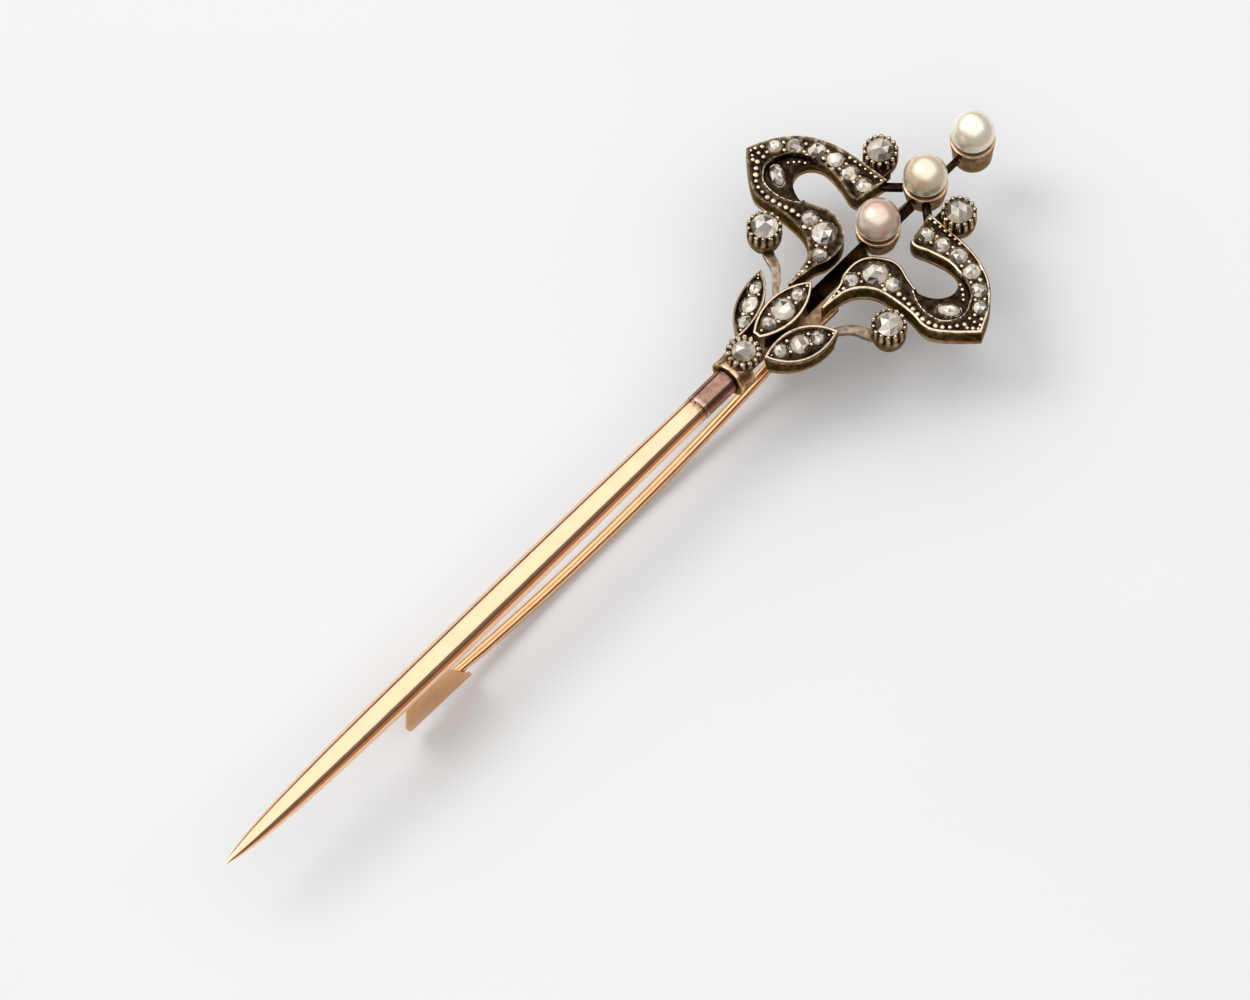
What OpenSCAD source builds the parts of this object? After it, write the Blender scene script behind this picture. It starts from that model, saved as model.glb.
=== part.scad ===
// Stick brooch: a tapered gold blade with a lily head in silver on gold, set with rose-cut
// stones and three pearls. A bowed pin stem hinges behind the leaves and latches in a catch.
// Millimetres. The long axis lies along Y with the pearls at +Y, and the front faces +Z.
// The modules use a working frame with its origin at the middle of the collar, on the blade's
// axis. place() moves the finished pieces so that the origin is on the resting plane,
// below the middle of the whole object.

/* [Blade] */
// Length of the blade from its point to the ferrule
blade_len = 51.45; // [40:0.25:66]
// Radius of the blade at its fullest
blade_r = 1.18; // [1.1:0.01:1.5]
// Radius of the blade where it meets the ferrule
blade_root_r = 1.02; // [0.95:0.01:1.1]
// Distance from the ferrule to the fullest part of the blade
belly_dist = 23.75; // [16:0.25:26]
// Radius of the tang inside the ferrule
tang_r = 0.8; // [0.5:0.02:0.85]

/* [Ferrule and collar] */
// Visible length of the ferrule
ferrule_len = 3.3; // [2:0.1:4.5]
// Outer radius of the ferrule
ferrule_r = 1.05; // [1:0.01:1.3]
// Length of the collar along the blade
collar_len = 1.5; // [1.2:0.1:2]
// Outer radius of the collar
collar_r = 1.54; // [1.4:0.02:1.8]
// Radius of the head's plug inside the collar
plug_r = 0.98; // [0.7:0.02:1.1]

/* [Petals] */
// Distance from the centre line to a petal's point
petal_reach = 11.75; // [9.8:0.05:14.1]
// Length of a petal along the brooch, from its foot to its top edge
petal_rise = 11.5; // [9.6:0.1:13.8]
// Height of the petals' front face above the blade's axis
petal_z = 1.3; // [1.1:0.05:1.8]
// Depth of the recess inside a petal's curl
curl_depth = 0.5; // [0.3:0.05:0.8]
// Thickness of the gold backing
backing_t = 0.5; // [0.3:0.05:0.6]
// Thickness of the gold plate behind the leaves
plate_t = 0.5; // [0.4:0.05:0.8]

/* [Leaves] */
// Length of the centre leaf
leaf_len = 6.55; // [6:0.05:7.2]
// Half width of the centre leaf
leaf_half = 1.3; // [1:0.05:1.4]
// Height of the centre leaf's face
leaf_z = 2.6; // [2.3:0.05:3]
// Length of a side leaf
side_leaf_len = 6; // [5:0.05:6.4]
// Half width of a side leaf
side_leaf_half = 1.1; // [0.9:0.05:1.2]
// Height of a side leaf's face at its middle
side_leaf_z = 1.5; // [1.3:0.05:1.8]
// Outward tilt of a side leaf's face
side_leaf_tilt = 32; // [20:1:38]

/* [Single stones] */
// Radius of the stone at the base of the leaves
base_stone_r = 0.92; // [0.75:0.01:1.1]
// Radius of the outer stones, on the curved stems
outer_stone_r = 1.05; // [0.85:0.01:1.26]
// Radius of the upper stones, above the petals
upper_stone_r = 1.05; // [0.85:0.01:1.15]
// Width of a collet's rim around its stone
collet_rim = 0.3; // [0.25:0.01:0.4]

/* [Pearls] */
// Radius of a pearl
pearl_r = 1.68; // [1.4:0.01:2.05]
// Distance between the centres of neighbouring pearls
pearl_pitch = 5.3; // [4.8:0.05:6.4]
// Height of the first cup from its foot to its rim
cup_1_h = 2.05; // [1.6:0.05:2.4]
// Height of the second cup from its foot to its rim
cup_2_h = 2.25; // [1.8:0.05:2.7]
// Height of the third cup from its foot to its rim
cup_3_h = 2.9; // [2.3:0.05:3.4]
// Distance from a pearl's centre down to its cup's rim
cup_drop = 1; // [0.8:0.05:1.2]
// Wall that a cup shows outside its pearl at the rim
cup_wall = 0.36; // [0.2:0.01:0.4]
// Radius of the pegs that hold the pearls
peg_r = 0.25; // [0.2:0.01:0.35]

/* [Pin stem and hinge] */
// Radius of the pin stem's wire
stem_r = 0.45; // [0.38:0.01:0.54]
// Radius of the stem inside the catch
stem_catch_r = 0.4; // [0.3:0.01:0.45]
// Length of the stem along the brooch, from the hinge to its point
stem_len = 40.6; // [36:0.1:44]
// Length of the stem's sharpened point
point_len = 2.7; // [2:0.1:4]
// Distance from the collar's middle to the hinge
hinge_y = 5; // [4.5:0.1:5.6]
// Distance from the blade's axis back to the hinge
hinge_back = 4; // [3.6:0.05:4.4]
// Distance from the blade's axis back to the middle of the stem's bow
bow_back = 6; // [5.6:0.05:6.6]
// Distance from the hinge to the middle of the stem's bow
bow_dist = 20; // [18:0.5:22]
// Outer radius of the stem's knuckle
knuckle_r = 0.9; // [0.75:0.01:1]
// Width of the stem's knuckle
knuckle_w = 0.9; // [0.8:0.01:1.1]
// Thickness of each hinge ear
ear_t = 0.5; // [0.35:0.01:0.6]
// Radius of the hinge rivet
rivet_r = 0.35; // [0.25:0.01:0.42]
// Radius of the rivet's heads
rivet_head_r = 0.6; // [0.5:0.01:0.75]
// Thickness of the rivet's heads
rivet_head_t = 0.2; // [0.15:0.01:0.3]

/* [Catch] */
// Length of the catch along the blade
catch_len = 7.3; // [6:0.1:8.5]
// Length of the catch beyond the stem's point
catch_past = 1.2; // [0.3:0.1:1.6]
// Radius of the catch's lower corner at its far end
catch_corner = 1.5; // [0.5:0.1:2]
// Thickness of the catch's sheet
catch_t = 0.18; // [0.12:0.01:0.25]
// Sideways travel of the stem into the catch
latch_travel = 0.25; // [0.2:0.01:0.34]
// Distance that the resting stem stands off the centre line at the catch's mouth
latch_offset = 0.06; // [0:0.01:0.15]
// Angle at which the catch's mouth end is cut
catch_cut = 30; // [0:1:40]
// Slope of the catch, which rises towards the blade's point as the stem does
catch_slope = 2; // [0:0.5:4]

/* [Fits] */
// Gap around a stone, a pearl or a peg in its seat
seat_gap = 0.02; // [0.01:0.005:0.04]
// Gap between soldered pieces
solder_gap = 0.01; // [0.005:0.005:0.02]
// Gap between the stem and the catch
catch_gap = 0.04; // [0.03:0.01:0.08]
// Gap between the knuckle or the rivet's heads and the ears
side_gap = 0.05; // [0.04:0.01:0.1]
// Radial gap of the rivet in the stem's knuckle
knuckle_fit = 0.03; // [0.02:0.01:0.06]
// Radial gap of the rivet in the ears
ear_fit = 0.05; // [0.04:0.01:0.1]

/* [Hidden] */
$fn = 64;
tiny = 0.001;
far = 40;

// Stations along the brooch, and heights behind the axis
collar_y0 = -collar_len / 2;
collar_y1 = collar_len / 2;
blade_y = collar_y0 - ferrule_len;
blade_tip_y = blade_y - blade_len;
back_z = -0.5;
plate_back = back_z - plate_t;
hinge_z = -hinge_back;
bow_z = -bow_back;
bow_y = hinge_y - bow_dist;
bow_rise = hinge_z - bow_z;
bow_radius = (pow(bow_dist, 2) + pow(bow_rise, 2)) / (2 * bow_rise);

// Cups and pearls, from the leaves outwards
pearl_1_y = 16;
pearl_zs = [2.2, 2.0, 1.7];
cup_rim_r = sqrt(pow(pearl_r, 2) - pow(cup_drop, 2)) + cup_wall;
cup_foot_r = cup_rim_r - 0.2;
cup_seat_r = pearl_r + seat_gap;
function pearl_at(i) = [0, pearl_1_y + i * pearl_pitch, pearl_zs[i]];
function cup_rim_z(i) = pearl_zs[i] - cup_drop;
function cup_foot_z(i) = cup_rim_z(i) - [cup_1_h, cup_2_h, cup_3_h][i];

// Overall box, for the origin
top_y = pearl_at(2)[1] + max(cup_rim_r, pearl_r);
low_z = bow_z - stem_r;
mid_y = (blade_tip_y + top_y) / 2;

// Catch, worked out from the stem at the catch's mouth
stem_tip_y = hinge_y - stem_len;
catch_y0 = stem_tip_y - catch_past;
catch_y1 = catch_y0 + catch_len;
neck_y = catch_y1 + 1.5;
neck_angle = asin((neck_y - bow_y) / bow_radius);
stem_z_at_neck = bow_z + bow_radius * (1 - cos(neck_angle));
stem_z_at_mouth = stem_z_at_neck - (neck_y - catch_y1) * tan(neck_angle);
mouth_lever = hinge_y - catch_y1;
stem_lean = -asin(latch_offset / mouth_lever);
wall_x = -latch_offset + latch_travel + stem_catch_r + catch_gap;
lip_top_z = stem_z_at_mouth - stem_catch_r / cos(neck_angle) - catch_gap;
curl_z = lip_top_z + latch_travel;

// Outlines. The petal's points are for a reach of 12 and a rise of 11.5 from its foot.
petal_foot_y = 7.9;
petal_kx = petal_reach / 12;
petal_ky = petal_rise / 11.5;
function on_petal(p) = [p[0] * petal_kx, petal_foot_y + (p[1] - petal_foot_y) * petal_ky];
petal_top_edge = [[2.2, 19.4], [5.3, 19.3], [7.5, 18.95], [9.5, 18], [11, 16.4], [12, 14.4]];
petal_low_edge = [[12, 14.4], [10.6, 13.1], [9.2, 12.1], [8.2, 11.9], [6.9, 12.1], [4.9, 12.05],
    [3.6, 11.8], [2.6, 11.1], [2.05, 10.2], [1.85, 9.2], [1.7, 7.9]];
petal_inner_edge = [[1.55, 8], [1.4, 9.2], [1.2, 10.4], [0.85, 11.2], [0.8, 12.6], [1.35, 13.7],
    [2.6, 14.5], [3.6, 14.6], [4.9, 14.15], [5.9, 13.95], [6.8, 14.2], [7.6, 14.8], [8, 15.7],
    [7.7, 16.6], [6.9, 17.15], [5.8, 17.2], [4.4, 16.9], [3.3, 16.55], [2.7, 16.65]];
petal_curl = [[5.7, 13.75], [6.7, 13.2], [7.7, 13], [8.7, 13.1], [9.3, 13.45], [9.75, 14.1],
    [9.85, 14.8], [9.3, 16.05], [8.6, 16.65], [7.7, 17], [6.9, 17.15]];
// Stones along the petals: [x, y, radius]
petal_stones = [[3.2, 17.9, 0.6], [4.7, 18, 0.62], [6.3, 18.15, 0.67], [7.9, 17.8, 0.67],
    [9.4, 17, 0.62], [10.5, 15.95, 0.55], [2.6, 12.85, 0.96], [4.25, 13.1, 0.62], [1.6, 11.25, 0.55]];
curl_stone = [8.75, 14.35];
curl_stone_half = [0.85, 0.5];
curl_stone_turn = 33;
// Stones on the leaves: [distance along the leaf from its middle, radius]
leaf_stones = [[1.75, 0.5], [0.05, 0.9], [-1.52, 0.52]];
side_leaf_stones = [[1.4, 0.55], [-0.1, 0.72], [-1.6, 0.52]];

// Places of the leaves, collets and stems
leaf_mid = [0, 2.1 + leaf_len / 2];
side_leaf_turn = 25.7;
side_leaf_mid = [2.6, 4.6];
base_at = [0, 1.1];
base_top_z = collar_r + seat_depth(base_stone_r) + 0.06;
outer_at = on_petal([6.35, 10.3]);
outer_top_z = 1.4;
outer_foot_z = -1.4;
upper_at = on_petal([4, 19.4]) + [0, 1.25];
upper_top_z = 2.1;
upper_foot_z = -0.6;
outer_stem_path = [[5.9, 9.9], [5, 9.45], [4.1, 9.1], [3.4, 8.5], [2.8, 7.7], [1.7, 6.9]];
outer_stem_w = [0.9, 0.4];

// Rods from the petals' free ends to the second cup, and the necks that stand beside them
link_r = 0.35;
link_from = on_petal([2.35, 19.1]);
link_to = [0, pearl_at(1)[1] - 0.2];
link_run = link_to - link_from;
neck_x = link_from[0] + link_r * link_run[1] / norm(link_run) + 1.5 * solder_gap;

function base_r() = base_stone_r + collet_rim + 0.15;
function outer_r() = outer_stone_r + collet_rim;
function upper_r() = upper_stone_r + collet_rim;

// ---- curves ----

// One point of a smooth curve through b and c, with a before them and d after them
function curve_point(a, b, c, d, t) = 0.5 * (2 * b + (c - a) * t + (2 * a - 5 * b + 4 * c - d) * t * t
    + (3 * b - a - 3 * c + d) * t * t * t);

// Smooth open curve through a list of points, with n steps between neighbours
function smooth(p, n = 4) = concat([for (i = [0 : len(p) - 2], k = [0 : n - 1])
    curve_point(p[max(i - 1, 0)], p[i], p[i + 1], p[min(i + 2, len(p) - 1)], k / n)], [p[len(p) - 1]]);

// Cubic curve from a to d with handles b and c
function bezier(a, b, c, d, n) = [for (k = [0 : n]) let (t = k / n, s = 1 - t)
    s * s * s * a + 3 * s * s * t * b + 3 * s * t * t * c + t * t * t * d];

function petal_line(p) = [for (q = smooth(p)) on_petal(q)];

// Unit normal to the left of a path at its point i
function side_of(p, i) = let (d = p[min(i + 1, len(p) - 1)] - p[max(i - 1, 0)]) [-d[1], d[0]] / norm(d);

// Closed outline of a ribbon along a path, w[0] wide at its start and w[1] at its end
function ribbon(p, w) = let (n = len(p) - 1, half = [for (i = [0 : n]) (w[0] + (w[1] - w[0]) * i / n) / 2])
    concat([for (i = [0 : n]) p[i] + side_of(p, i) * half[i]],
        [for (i = [n : -1 : 0]) p[i] - side_of(p, i) * half[i]]);

// ---- shared shapes ----

// Moves a piece from the working frame to the part's frame
module place() {
    translate([0, -mid_y, -low_z]) children();
}

// Draws a right-hand piece on the side asked for
module on_side(side) {
    mirror([side < 0 ? 1 : 0, 0, 0]) children();
}

// Turns a shape that was made along Z to lie along Y
module along_y() {
    rotate([-90, 0, 0]) children();
}

// Turns a shape that was made along Z to lie along X
module along_x() {
    rotate([0, 90, 0]) children();
}

// Rose-cut stone with a flat back, standing on z = 0
module rose(r) {
    rotate_extrude() polygon([[0, 0], [r, 0], [r, 0.3 * r], [0.62 * r, 0.72 * r], [0, 0.9 * r]]);
}

// Pointed oval outline, pointing along Y
module vesica(length, half) {
    r = (pow(length / 2, 2) + pow(half, 2)) / (2 * half);
    intersection() {
        translate([r - half, 0]) circle(r);
        translate([half - r, 0]) circle(r);
    }
}

// Depth of a stone's seat below the metal's face
function seat_depth(r) = 0.35 * r + 0.1;

// Round collet with its stone's seat open at the top
module collet(r, stone_r, top_z, foot_z) {
    shoulder_z = foot_z + 0.55 * (top_z - foot_z);
    side = bezier([0.4 * r, foot_z], [0.8 * r, foot_z], [r, foot_z + 0.4], [r, shoulder_z], 5);
    difference() {
        rotate_extrude() polygon(concat([[0, foot_z]], side, [[r, top_z], [0, top_z]]));
        translate([0, 0, top_z - seat_depth(stone_r)]) cylinder(r = stone_r + seat_gap, h = far);
    }
}

module collet_stone(stone_r, top_z) {
    translate([0, 0, top_z - seat_depth(stone_r)]) rose(stone_r);
}

// ---- blade, ferrule and collar ----

// Radius of the blade as points [distance from its point, radius]
function blade_profile() = let (belly = blade_len - belly_dist)
    concat(bezier([0, 0.04], [2.5, 0.72 * blade_r], [9, blade_r], [belly, blade_r], 14),
        [for (p = bezier([belly, blade_r], [belly + 10, blade_r], [blade_len - 7, blade_root_r + 0.05],
            [blade_len, blade_root_r], 6)) if (p[0] > belly) p]);

// Blade turned about Y, grown by a gap
module blade_body(gap = 0) {
    outline = [for (p = blade_profile()) [p[1] + gap, p[0]]];
    translate([0, blade_tip_y, 0]) along_y() rotate_extrude()
        polygon(concat([[0, 0]], outline, [[0, blade_len]]));
}

module blade() {
    color([0.86, 0.62, 0.42]) place() {
        blade_body();
        translate([0, blade_y - tiny, 0]) along_y() cylinder(r = tang_r, h = ferrule_len - 0.2);
    }
}

module ferrule() {
    color([0.6, 0.43, 0.38]) place() difference() {
        translate([0, blade_y, 0]) along_y() cylinder(r = ferrule_r, h = ferrule_len);
        translate([0, blade_y - 1, 0]) along_y() cylinder(r = tang_r + seat_gap, h = ferrule_len + 2);
    }
}

module collar() {
    color([0.75, 0.55, 0.42]) place() difference() {
        translate([0, collar_y0, 0]) along_y() cylinder(r = collar_r, h = collar_len);
        translate([0, collar_y0 - 1, 0]) along_y() cylinder(r = plug_r + seat_gap, h = collar_len + 2);
    }
}

// Plug in the collar with the short bar that carries the base collet
module head_plug() {
    color([0.62, 0.48, 0.36]) place() {
        translate([0, collar_y0, 0]) along_y() cylinder(r = plug_r, h = collar_len);
        translate([-0.7, collar_y1 - tiny, back_z]) cube([1.4, 1.8, -2 * back_z]);
    }
}

// ---- leaves ----

module side_leaf_outline(shrink = 0) {
    translate(side_leaf_mid) rotate(-side_leaf_turn)
        vesica(side_leaf_len - 3 * shrink, side_leaf_half - shrink);
}

module back_plate_outline() {
    translate(leaf_mid) vesica(leaf_len, leaf_half);
    for (side = [1, -1]) mirror([side < 0 ? 1 : 0, 0]) side_leaf_outline(0.2);
    polygon([[-1.8, 3.2], [1.8, 3.2], [2.8, 5.4], [-2.8, 5.4]]);
    translate([-1.9, 6.4]) square([3.8, 3.2]);
}

module back_plate() {
    color([0.8, 0.58, 0.38]) place() translate([0, 0, plate_back])
        linear_extrude(back_z - plate_back) back_plate_outline();
}

// Room kept free around the base collet
module base_collet_room() {
    translate([base_at[0], base_at[1], -far]) cylinder(r = base_r() + solder_gap, h = 2 * far);
}

module base_collet() {
    color([0.42, 0.39, 0.34]) place() difference() {
        translate([base_at[0], base_at[1], 0]) collet(base_r(), base_stone_r, base_top_z, -back_z);
        translate([0, collar_y0 - 1, 0]) along_y() cylinder(r = collar_r + solder_gap,
            h = collar_len + 1 + solder_gap);
    }
}

module base_diamond() {
    color([0.78, 0.76, 0.72]) place() translate([base_at[0], base_at[1], 0])
        collet_stone(base_stone_r, base_top_z);
}

// Puts children on the face of a side leaf, at a distance along it
module on_side_leaf(along) {
    translate([side_leaf_mid[0], side_leaf_mid[1], side_leaf_z]) rotate([0, 0, -side_leaf_turn])
        rotate([0, side_leaf_tilt, 0]) translate([0, along, 0]) children();
}

module side_leaf(side) {
    color([0.36, 0.33, 0.28]) place() on_side(side) difference() {
        translate([0, 0, back_z]) linear_extrude(4) side_leaf_outline();
        on_side_leaf(0) translate([-far / 2, -far / 2, 0]) cube(far);
        base_collet_room();
        for (s = side_leaf_stones) on_side_leaf(s[0]) translate([0, 0, -seat_depth(s[1])])
            cylinder(r = s[1] + seat_gap, h = 2);
    }
}

module side_leaf_diamonds(side) {
    color([0.78, 0.76, 0.72]) place() on_side(side)
        for (s = side_leaf_stones) on_side_leaf(s[0]) translate([0, 0, -seat_depth(s[1])]) rose(s[1]);
}

// The leaf's blade stands on a narrower body that reaches the back plate
module centre_leaf() {
    under_z = petal_z + 0.15;
    color([0.36, 0.33, 0.28]) place() difference() {
        union() {
            translate([leaf_mid[0], leaf_mid[1], under_z]) linear_extrude(leaf_z - under_z)
                vesica(leaf_len, leaf_half);
            translate([0, leaf_mid[1] - 0.1, back_z]) linear_extrude(under_z - back_z + tiny)
                vesica(0.66 * leaf_len, 0.7 * leaf_half);
        }
        base_collet_room();
        for (s = leaf_stones) translate([0, leaf_mid[1] + s[0], leaf_z - seat_depth(s[1])])
            cylinder(r = s[1] + seat_gap, h = 2);
    }
}

module centre_leaf_diamonds() {
    color([0.78, 0.76, 0.72]) place()
        for (s = leaf_stones) translate([0, leaf_mid[1] + s[0], leaf_z - seat_depth(s[1])]) rose(s[1]);
}

// ---- petals ----

module petal_outline() {
    polygon(concat(petal_line(petal_top_edge), petal_line(petal_low_edge), petal_line(petal_inner_edge)));
}

module curl_stone_outline(gap = 0) {
    at = on_petal(curl_stone);
    translate(at) rotate(curl_stone_turn) polygon([for (a = [0 : 15 : 345])
        [(curl_stone_half[0] + gap) * cos(a), (curl_stone_half[1] + gap) * sin(a)]]);
}

module petal(side) {
    recess_z = petal_z - curl_depth;
    color([0.36, 0.33, 0.28]) place() on_side(side) difference() {
        linear_extrude(petal_z) petal_outline();
        translate([0, 0, recess_z]) linear_extrude(2) polygon(petal_line(petal_curl));
        translate([0, 0, recess_z - 0.3]) linear_extrude(2) curl_stone_outline(seat_gap);
        for (s = petal_stones) let (at = on_petal(s)) translate([at[0], at[1], petal_z - seat_depth(s[2])])
            cylinder(r = s[2] + seat_gap, h = 2);
    }
}

module petal_backing(side) {
    color([0.8, 0.58, 0.38]) place() on_side(side) translate([0, 0, -backing_t])
        linear_extrude(backing_t) petal_outline();
}

module petal_diamonds(side) {
    color([0.78, 0.76, 0.72]) place() on_side(side) {
        for (s = petal_stones) let (at = on_petal(s)) translate([at[0], at[1], petal_z - seat_depth(s[2])])
            rose(s[2]);
        translate([0, 0, petal_z - curl_depth - 0.3]) linear_extrude(0.55) curl_stone_outline();
    }
}

// ---- outer and upper stones ----

module outer_collet_body() {
    translate([outer_at[0], outer_at[1], 0]) collet(outer_r(), outer_stone_r, outer_top_z, outer_foot_z);
}

module outer_collet(side) {
    color([0.42, 0.39, 0.34]) place() on_side(side) outer_collet_body();
}

module outer_diamond(side) {
    color([0.78, 0.76, 0.72]) place() on_side(side) translate([outer_at[0], outer_at[1], 0])
        collet_stone(outer_stone_r, outer_top_z);
}

// Flat curved stem from the back plate to an outer collet
module outer_stem(side) {
    path = [for (p = smooth(outer_stem_path)) [p[0] + (outer_at[0] - 6.35) * (p[0] - 1.7) / 4.2,
        p[1] + (outer_at[1] - 10.3) * (p[1] - 6.9) / 3]];
    color([0.6, 0.52, 0.42]) place() on_side(side) difference() {
        translate([0, 0, plate_back]) linear_extrude(plate_t) difference() {
            polygon(ribbon(path, outer_stem_w));
            back_plate_outline();
        }
        outer_collet_body();
    }
}

module upper_collet_body() {
    translate([upper_at[0], upper_at[1], 0]) collet(upper_r(), upper_stone_r, upper_top_z, upper_foot_z);
}

// The collet is filed away where the petal passes under it
module upper_collet(side) {
    color([0.42, 0.39, 0.34]) place() on_side(side) difference() {
        upper_collet_body();
        translate([0, 0, -far]) linear_extrude(far + petal_z + solder_gap) petal_outline();
    }
}

module upper_diamond(side) {
    color([0.78, 0.76, 0.72]) place() on_side(side) translate([upper_at[0], upper_at[1], 0])
        collet_stone(upper_stone_r, upper_top_z);
}

// Grain-set neck between a petal's free end and its upper collet
module upper_neck(side) {
    color([0.36, 0.33, 0.28]) place() on_side(side) difference() {
        translate([neck_x, link_from[1], -0.2]) cube([0.9, 1.2, petal_z]);
        translate([0, 0, -far / 2]) linear_extrude(far) petal_outline();
        translate([upper_at[0], upper_at[1], -far / 2]) cylinder(r = upper_r() + solder_gap, h = far);
    }
}

// ---- centre line ----

module cup_room(i) {
    at = pearl_at(i);
    translate([0, at[1], -far]) cylinder(r = cup_rim_r, h = 2 * far);
}

// Rod from a petal's free end to the second cup
module link(side) {
    turn = atan2(link_run[1], link_run[0]);
    color([0.36, 0.33, 0.28]) place() on_side(side) difference() {
        translate([link_from[0], link_from[1], link_r]) rotate([0, 0, turn]) along_x()
            cylinder(r = link_r, h = norm(link_run));
        translate([0, 0, -far / 2]) linear_extrude(far) petal_outline();
        cup_room(1);
    }
}

// Knife-edge bar along Y between two stations, cut to the cups at its ends
module knife_bar(y0, y1, half_w, ridge_z) {
    translate([0, y1, 0]) rotate([90, 0, 0]) linear_extrude(y1 - y0)
        polygon([[-half_w, back_z], [half_w, back_z], [0, ridge_z]]);
}

module centre_bar() {
    color([0.3, 0.27, 0.22]) place() difference() {
        knife_bar(leaf_mid[1] + 0.33 * leaf_len, pearl_at(0)[1], 0.6, petal_z + 0.1);
        cup_room(0);
    }
}

module lower_spine_bar() {
    color([0.3, 0.27, 0.22]) place() difference() {
        knife_bar(pearl_at(0)[1], pearl_at(1)[1], 0.5, 0.5);
        cup_room(0);
        cup_room(1);
    }
}

module upper_spine_bar() {
    color([0.3, 0.27, 0.22]) place() difference() {
        knife_bar(pearl_at(1)[1], pearl_at(2)[1], 0.3, 0.4);
        cup_room(1);
        cup_room(2);
    }
}

module pearl_cup(i) {
    at = pearl_at(i);
    foot = cup_foot_z(i);
    rim = cup_rim_z(i);
    color([0.6, 0.45, 0.33]) place() translate([0, at[1], 0]) difference() {
        rotate_extrude() polygon([[0, foot], [cup_foot_r - 0.3, foot], [cup_foot_r, foot + 0.3],
            [cup_rim_r, rim - 0.9], [cup_rim_r, rim], [0, rim]]);
        translate([0, 0, at[2]]) sphere(cup_seat_r);
        translate([0, 0, at[2] - cup_seat_r - 0.5]) cylinder(r = peg_r + solder_gap, h = 2);
    }
}

module pearl_peg(i) {
    at = pearl_at(i);
    color([0.8, 0.58, 0.38]) place() translate([0, at[1], at[2] - cup_seat_r - 0.5])
        cylinder(r = peg_r, h = cup_seat_r + 0.5);
}

module pearl(i) {
    at = pearl_at(i);
    color([[0.84, 0.74, 0.7], [0.88, 0.82, 0.72], [0.92, 0.89, 0.83]][i]) place() translate(at) difference() {
        sphere(pearl_r);
        translate([0, 0, -far]) cylinder(r = peg_r + seat_gap, h = far + seat_gap);
    }
}

// ---- hinge, pin stem and catch ----

ear_x = knuckle_w / 2 + side_gap;
ear_r = knuckle_r + 0.05;

module hinge_bracket() {
    foot_t = 0.4;
    color([0.8, 0.58, 0.38]) place() difference() {
        union() {
            translate([-ear_x - ear_t, hinge_y - ear_r - 0.3, plate_back - foot_t])
                cube([2 * (ear_x + ear_t), 2 * ear_r + 0.6, foot_t]);
            for (x = [ear_x, -ear_x - ear_t]) {
                translate([x, hinge_y, hinge_z]) along_x() cylinder(r = ear_r, h = ear_t);
                translate([x, hinge_y - ear_r, hinge_z])
                    cube([ear_t, 2 * ear_r, plate_back - foot_t - hinge_z + tiny]);
            }
        }
        translate([-far / 2, hinge_y, hinge_z]) along_x() cylinder(r = rivet_r + ear_fit, h = far);
    }
}

module hinge_rivet() {
    half = ear_x + ear_t + side_gap;
    color([0.72, 0.52, 0.34]) place() translate([0, hinge_y, hinge_z]) {
        translate([-half - tiny, 0, 0]) along_x() cylinder(r = rivet_r, h = 2 * (half + tiny));
        for (x = [half, -half - rivet_head_t]) translate([x, 0, 0]) along_x()
            cylinder(r = rivet_head_r, h = rivet_head_t);
    }
}

module pin_knuckle() {
    color([0.86, 0.62, 0.42]) place() translate([-knuckle_w / 2, hinge_y, hinge_z]) along_x() difference() {
        cylinder(r = knuckle_r, h = knuckle_w);
        translate([0, 0, -1]) cylinder(r = rivet_r + knuckle_fit, h = knuckle_w + 2);
    }
}

// Both sides of the wire where it passes between the ears, which are filed off a thick wire
module ear_clearance() {
    for (side = [1, -1]) mirror([side < 0 ? 1 : 0, 0, 0])
        translate([ear_x - side_gap / 2, hinge_y, hinge_z]) along_x()
            cylinder(r = ear_r + 2 * side_gap, h = far);
}

// Bowed wire that ends in a straight, tapered point, which starts a little inside the bow
module pin_stem() {
    hinge_angle = asin(bow_dist / bow_radius);
    straight = (neck_y - stem_tip_y) / cos(neck_angle);
    mouth = (neck_y - catch_y1 - 0.3) / cos(neck_angle);
    start_r = stem_r - solder_gap;
    lap = 0.2;
    color([0.86, 0.62, 0.42]) place() difference() {
        translate([0, hinge_y, 0]) rotate([0, 0, stem_lean]) translate([0, -hinge_y, 0]) {
            translate([0, bow_y, bow_z + bow_radius]) along_x() rotate([0, 0, neck_angle])
                rotate_extrude(angle = hinge_angle - neck_angle) translate([bow_radius, 0]) circle(stem_r);
            translate([0, neck_y, stem_z_at_neck]) rotate([90 + neck_angle, 0, 0]) rotate_extrude()
                polygon([[0, -lap], [start_r, -lap], [start_r, 0], [stem_catch_r, mouth],
                    [stem_catch_r, straight - point_len], [0.03, straight], [0, straight]]);
        }
        translate([-far / 2, hinge_y, hinge_z]) along_x() cylinder(r = knuckle_r, h = far);
        ear_clearance();
    }
}

// Sheet that hangs beside the stem and curls under it, seen along the blade
module catch_section() {
    translate([wall_x, curl_z]) square([catch_t, -curl_z]);
    translate([wall_x - latch_travel, curl_z]) intersection() {
        difference() {
            circle(latch_travel + catch_t);
            circle(latch_travel);
        }
        translate([0, -2]) square([2, 2 + tiny]);
    }
}

// The sheet in its own frame: the mouth end's lip is at the origin, and the sheet runs to -Y
module catch_sheet() {
    difference() {
        translate([0, 0, -lip_top_z]) rotate([90, 0, 0]) linear_extrude(catch_len) catch_section();
        // rounded far end
        translate([-far / 2, -catch_len, -catch_t]) difference() {
            translate([0, -1, -1]) cube([far, catch_corner + 1, catch_corner + 1]);
            translate([-1, catch_corner, catch_corner]) along_x() cylinder(r = catch_corner, h = far + 2);
        }
    }
}

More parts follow.
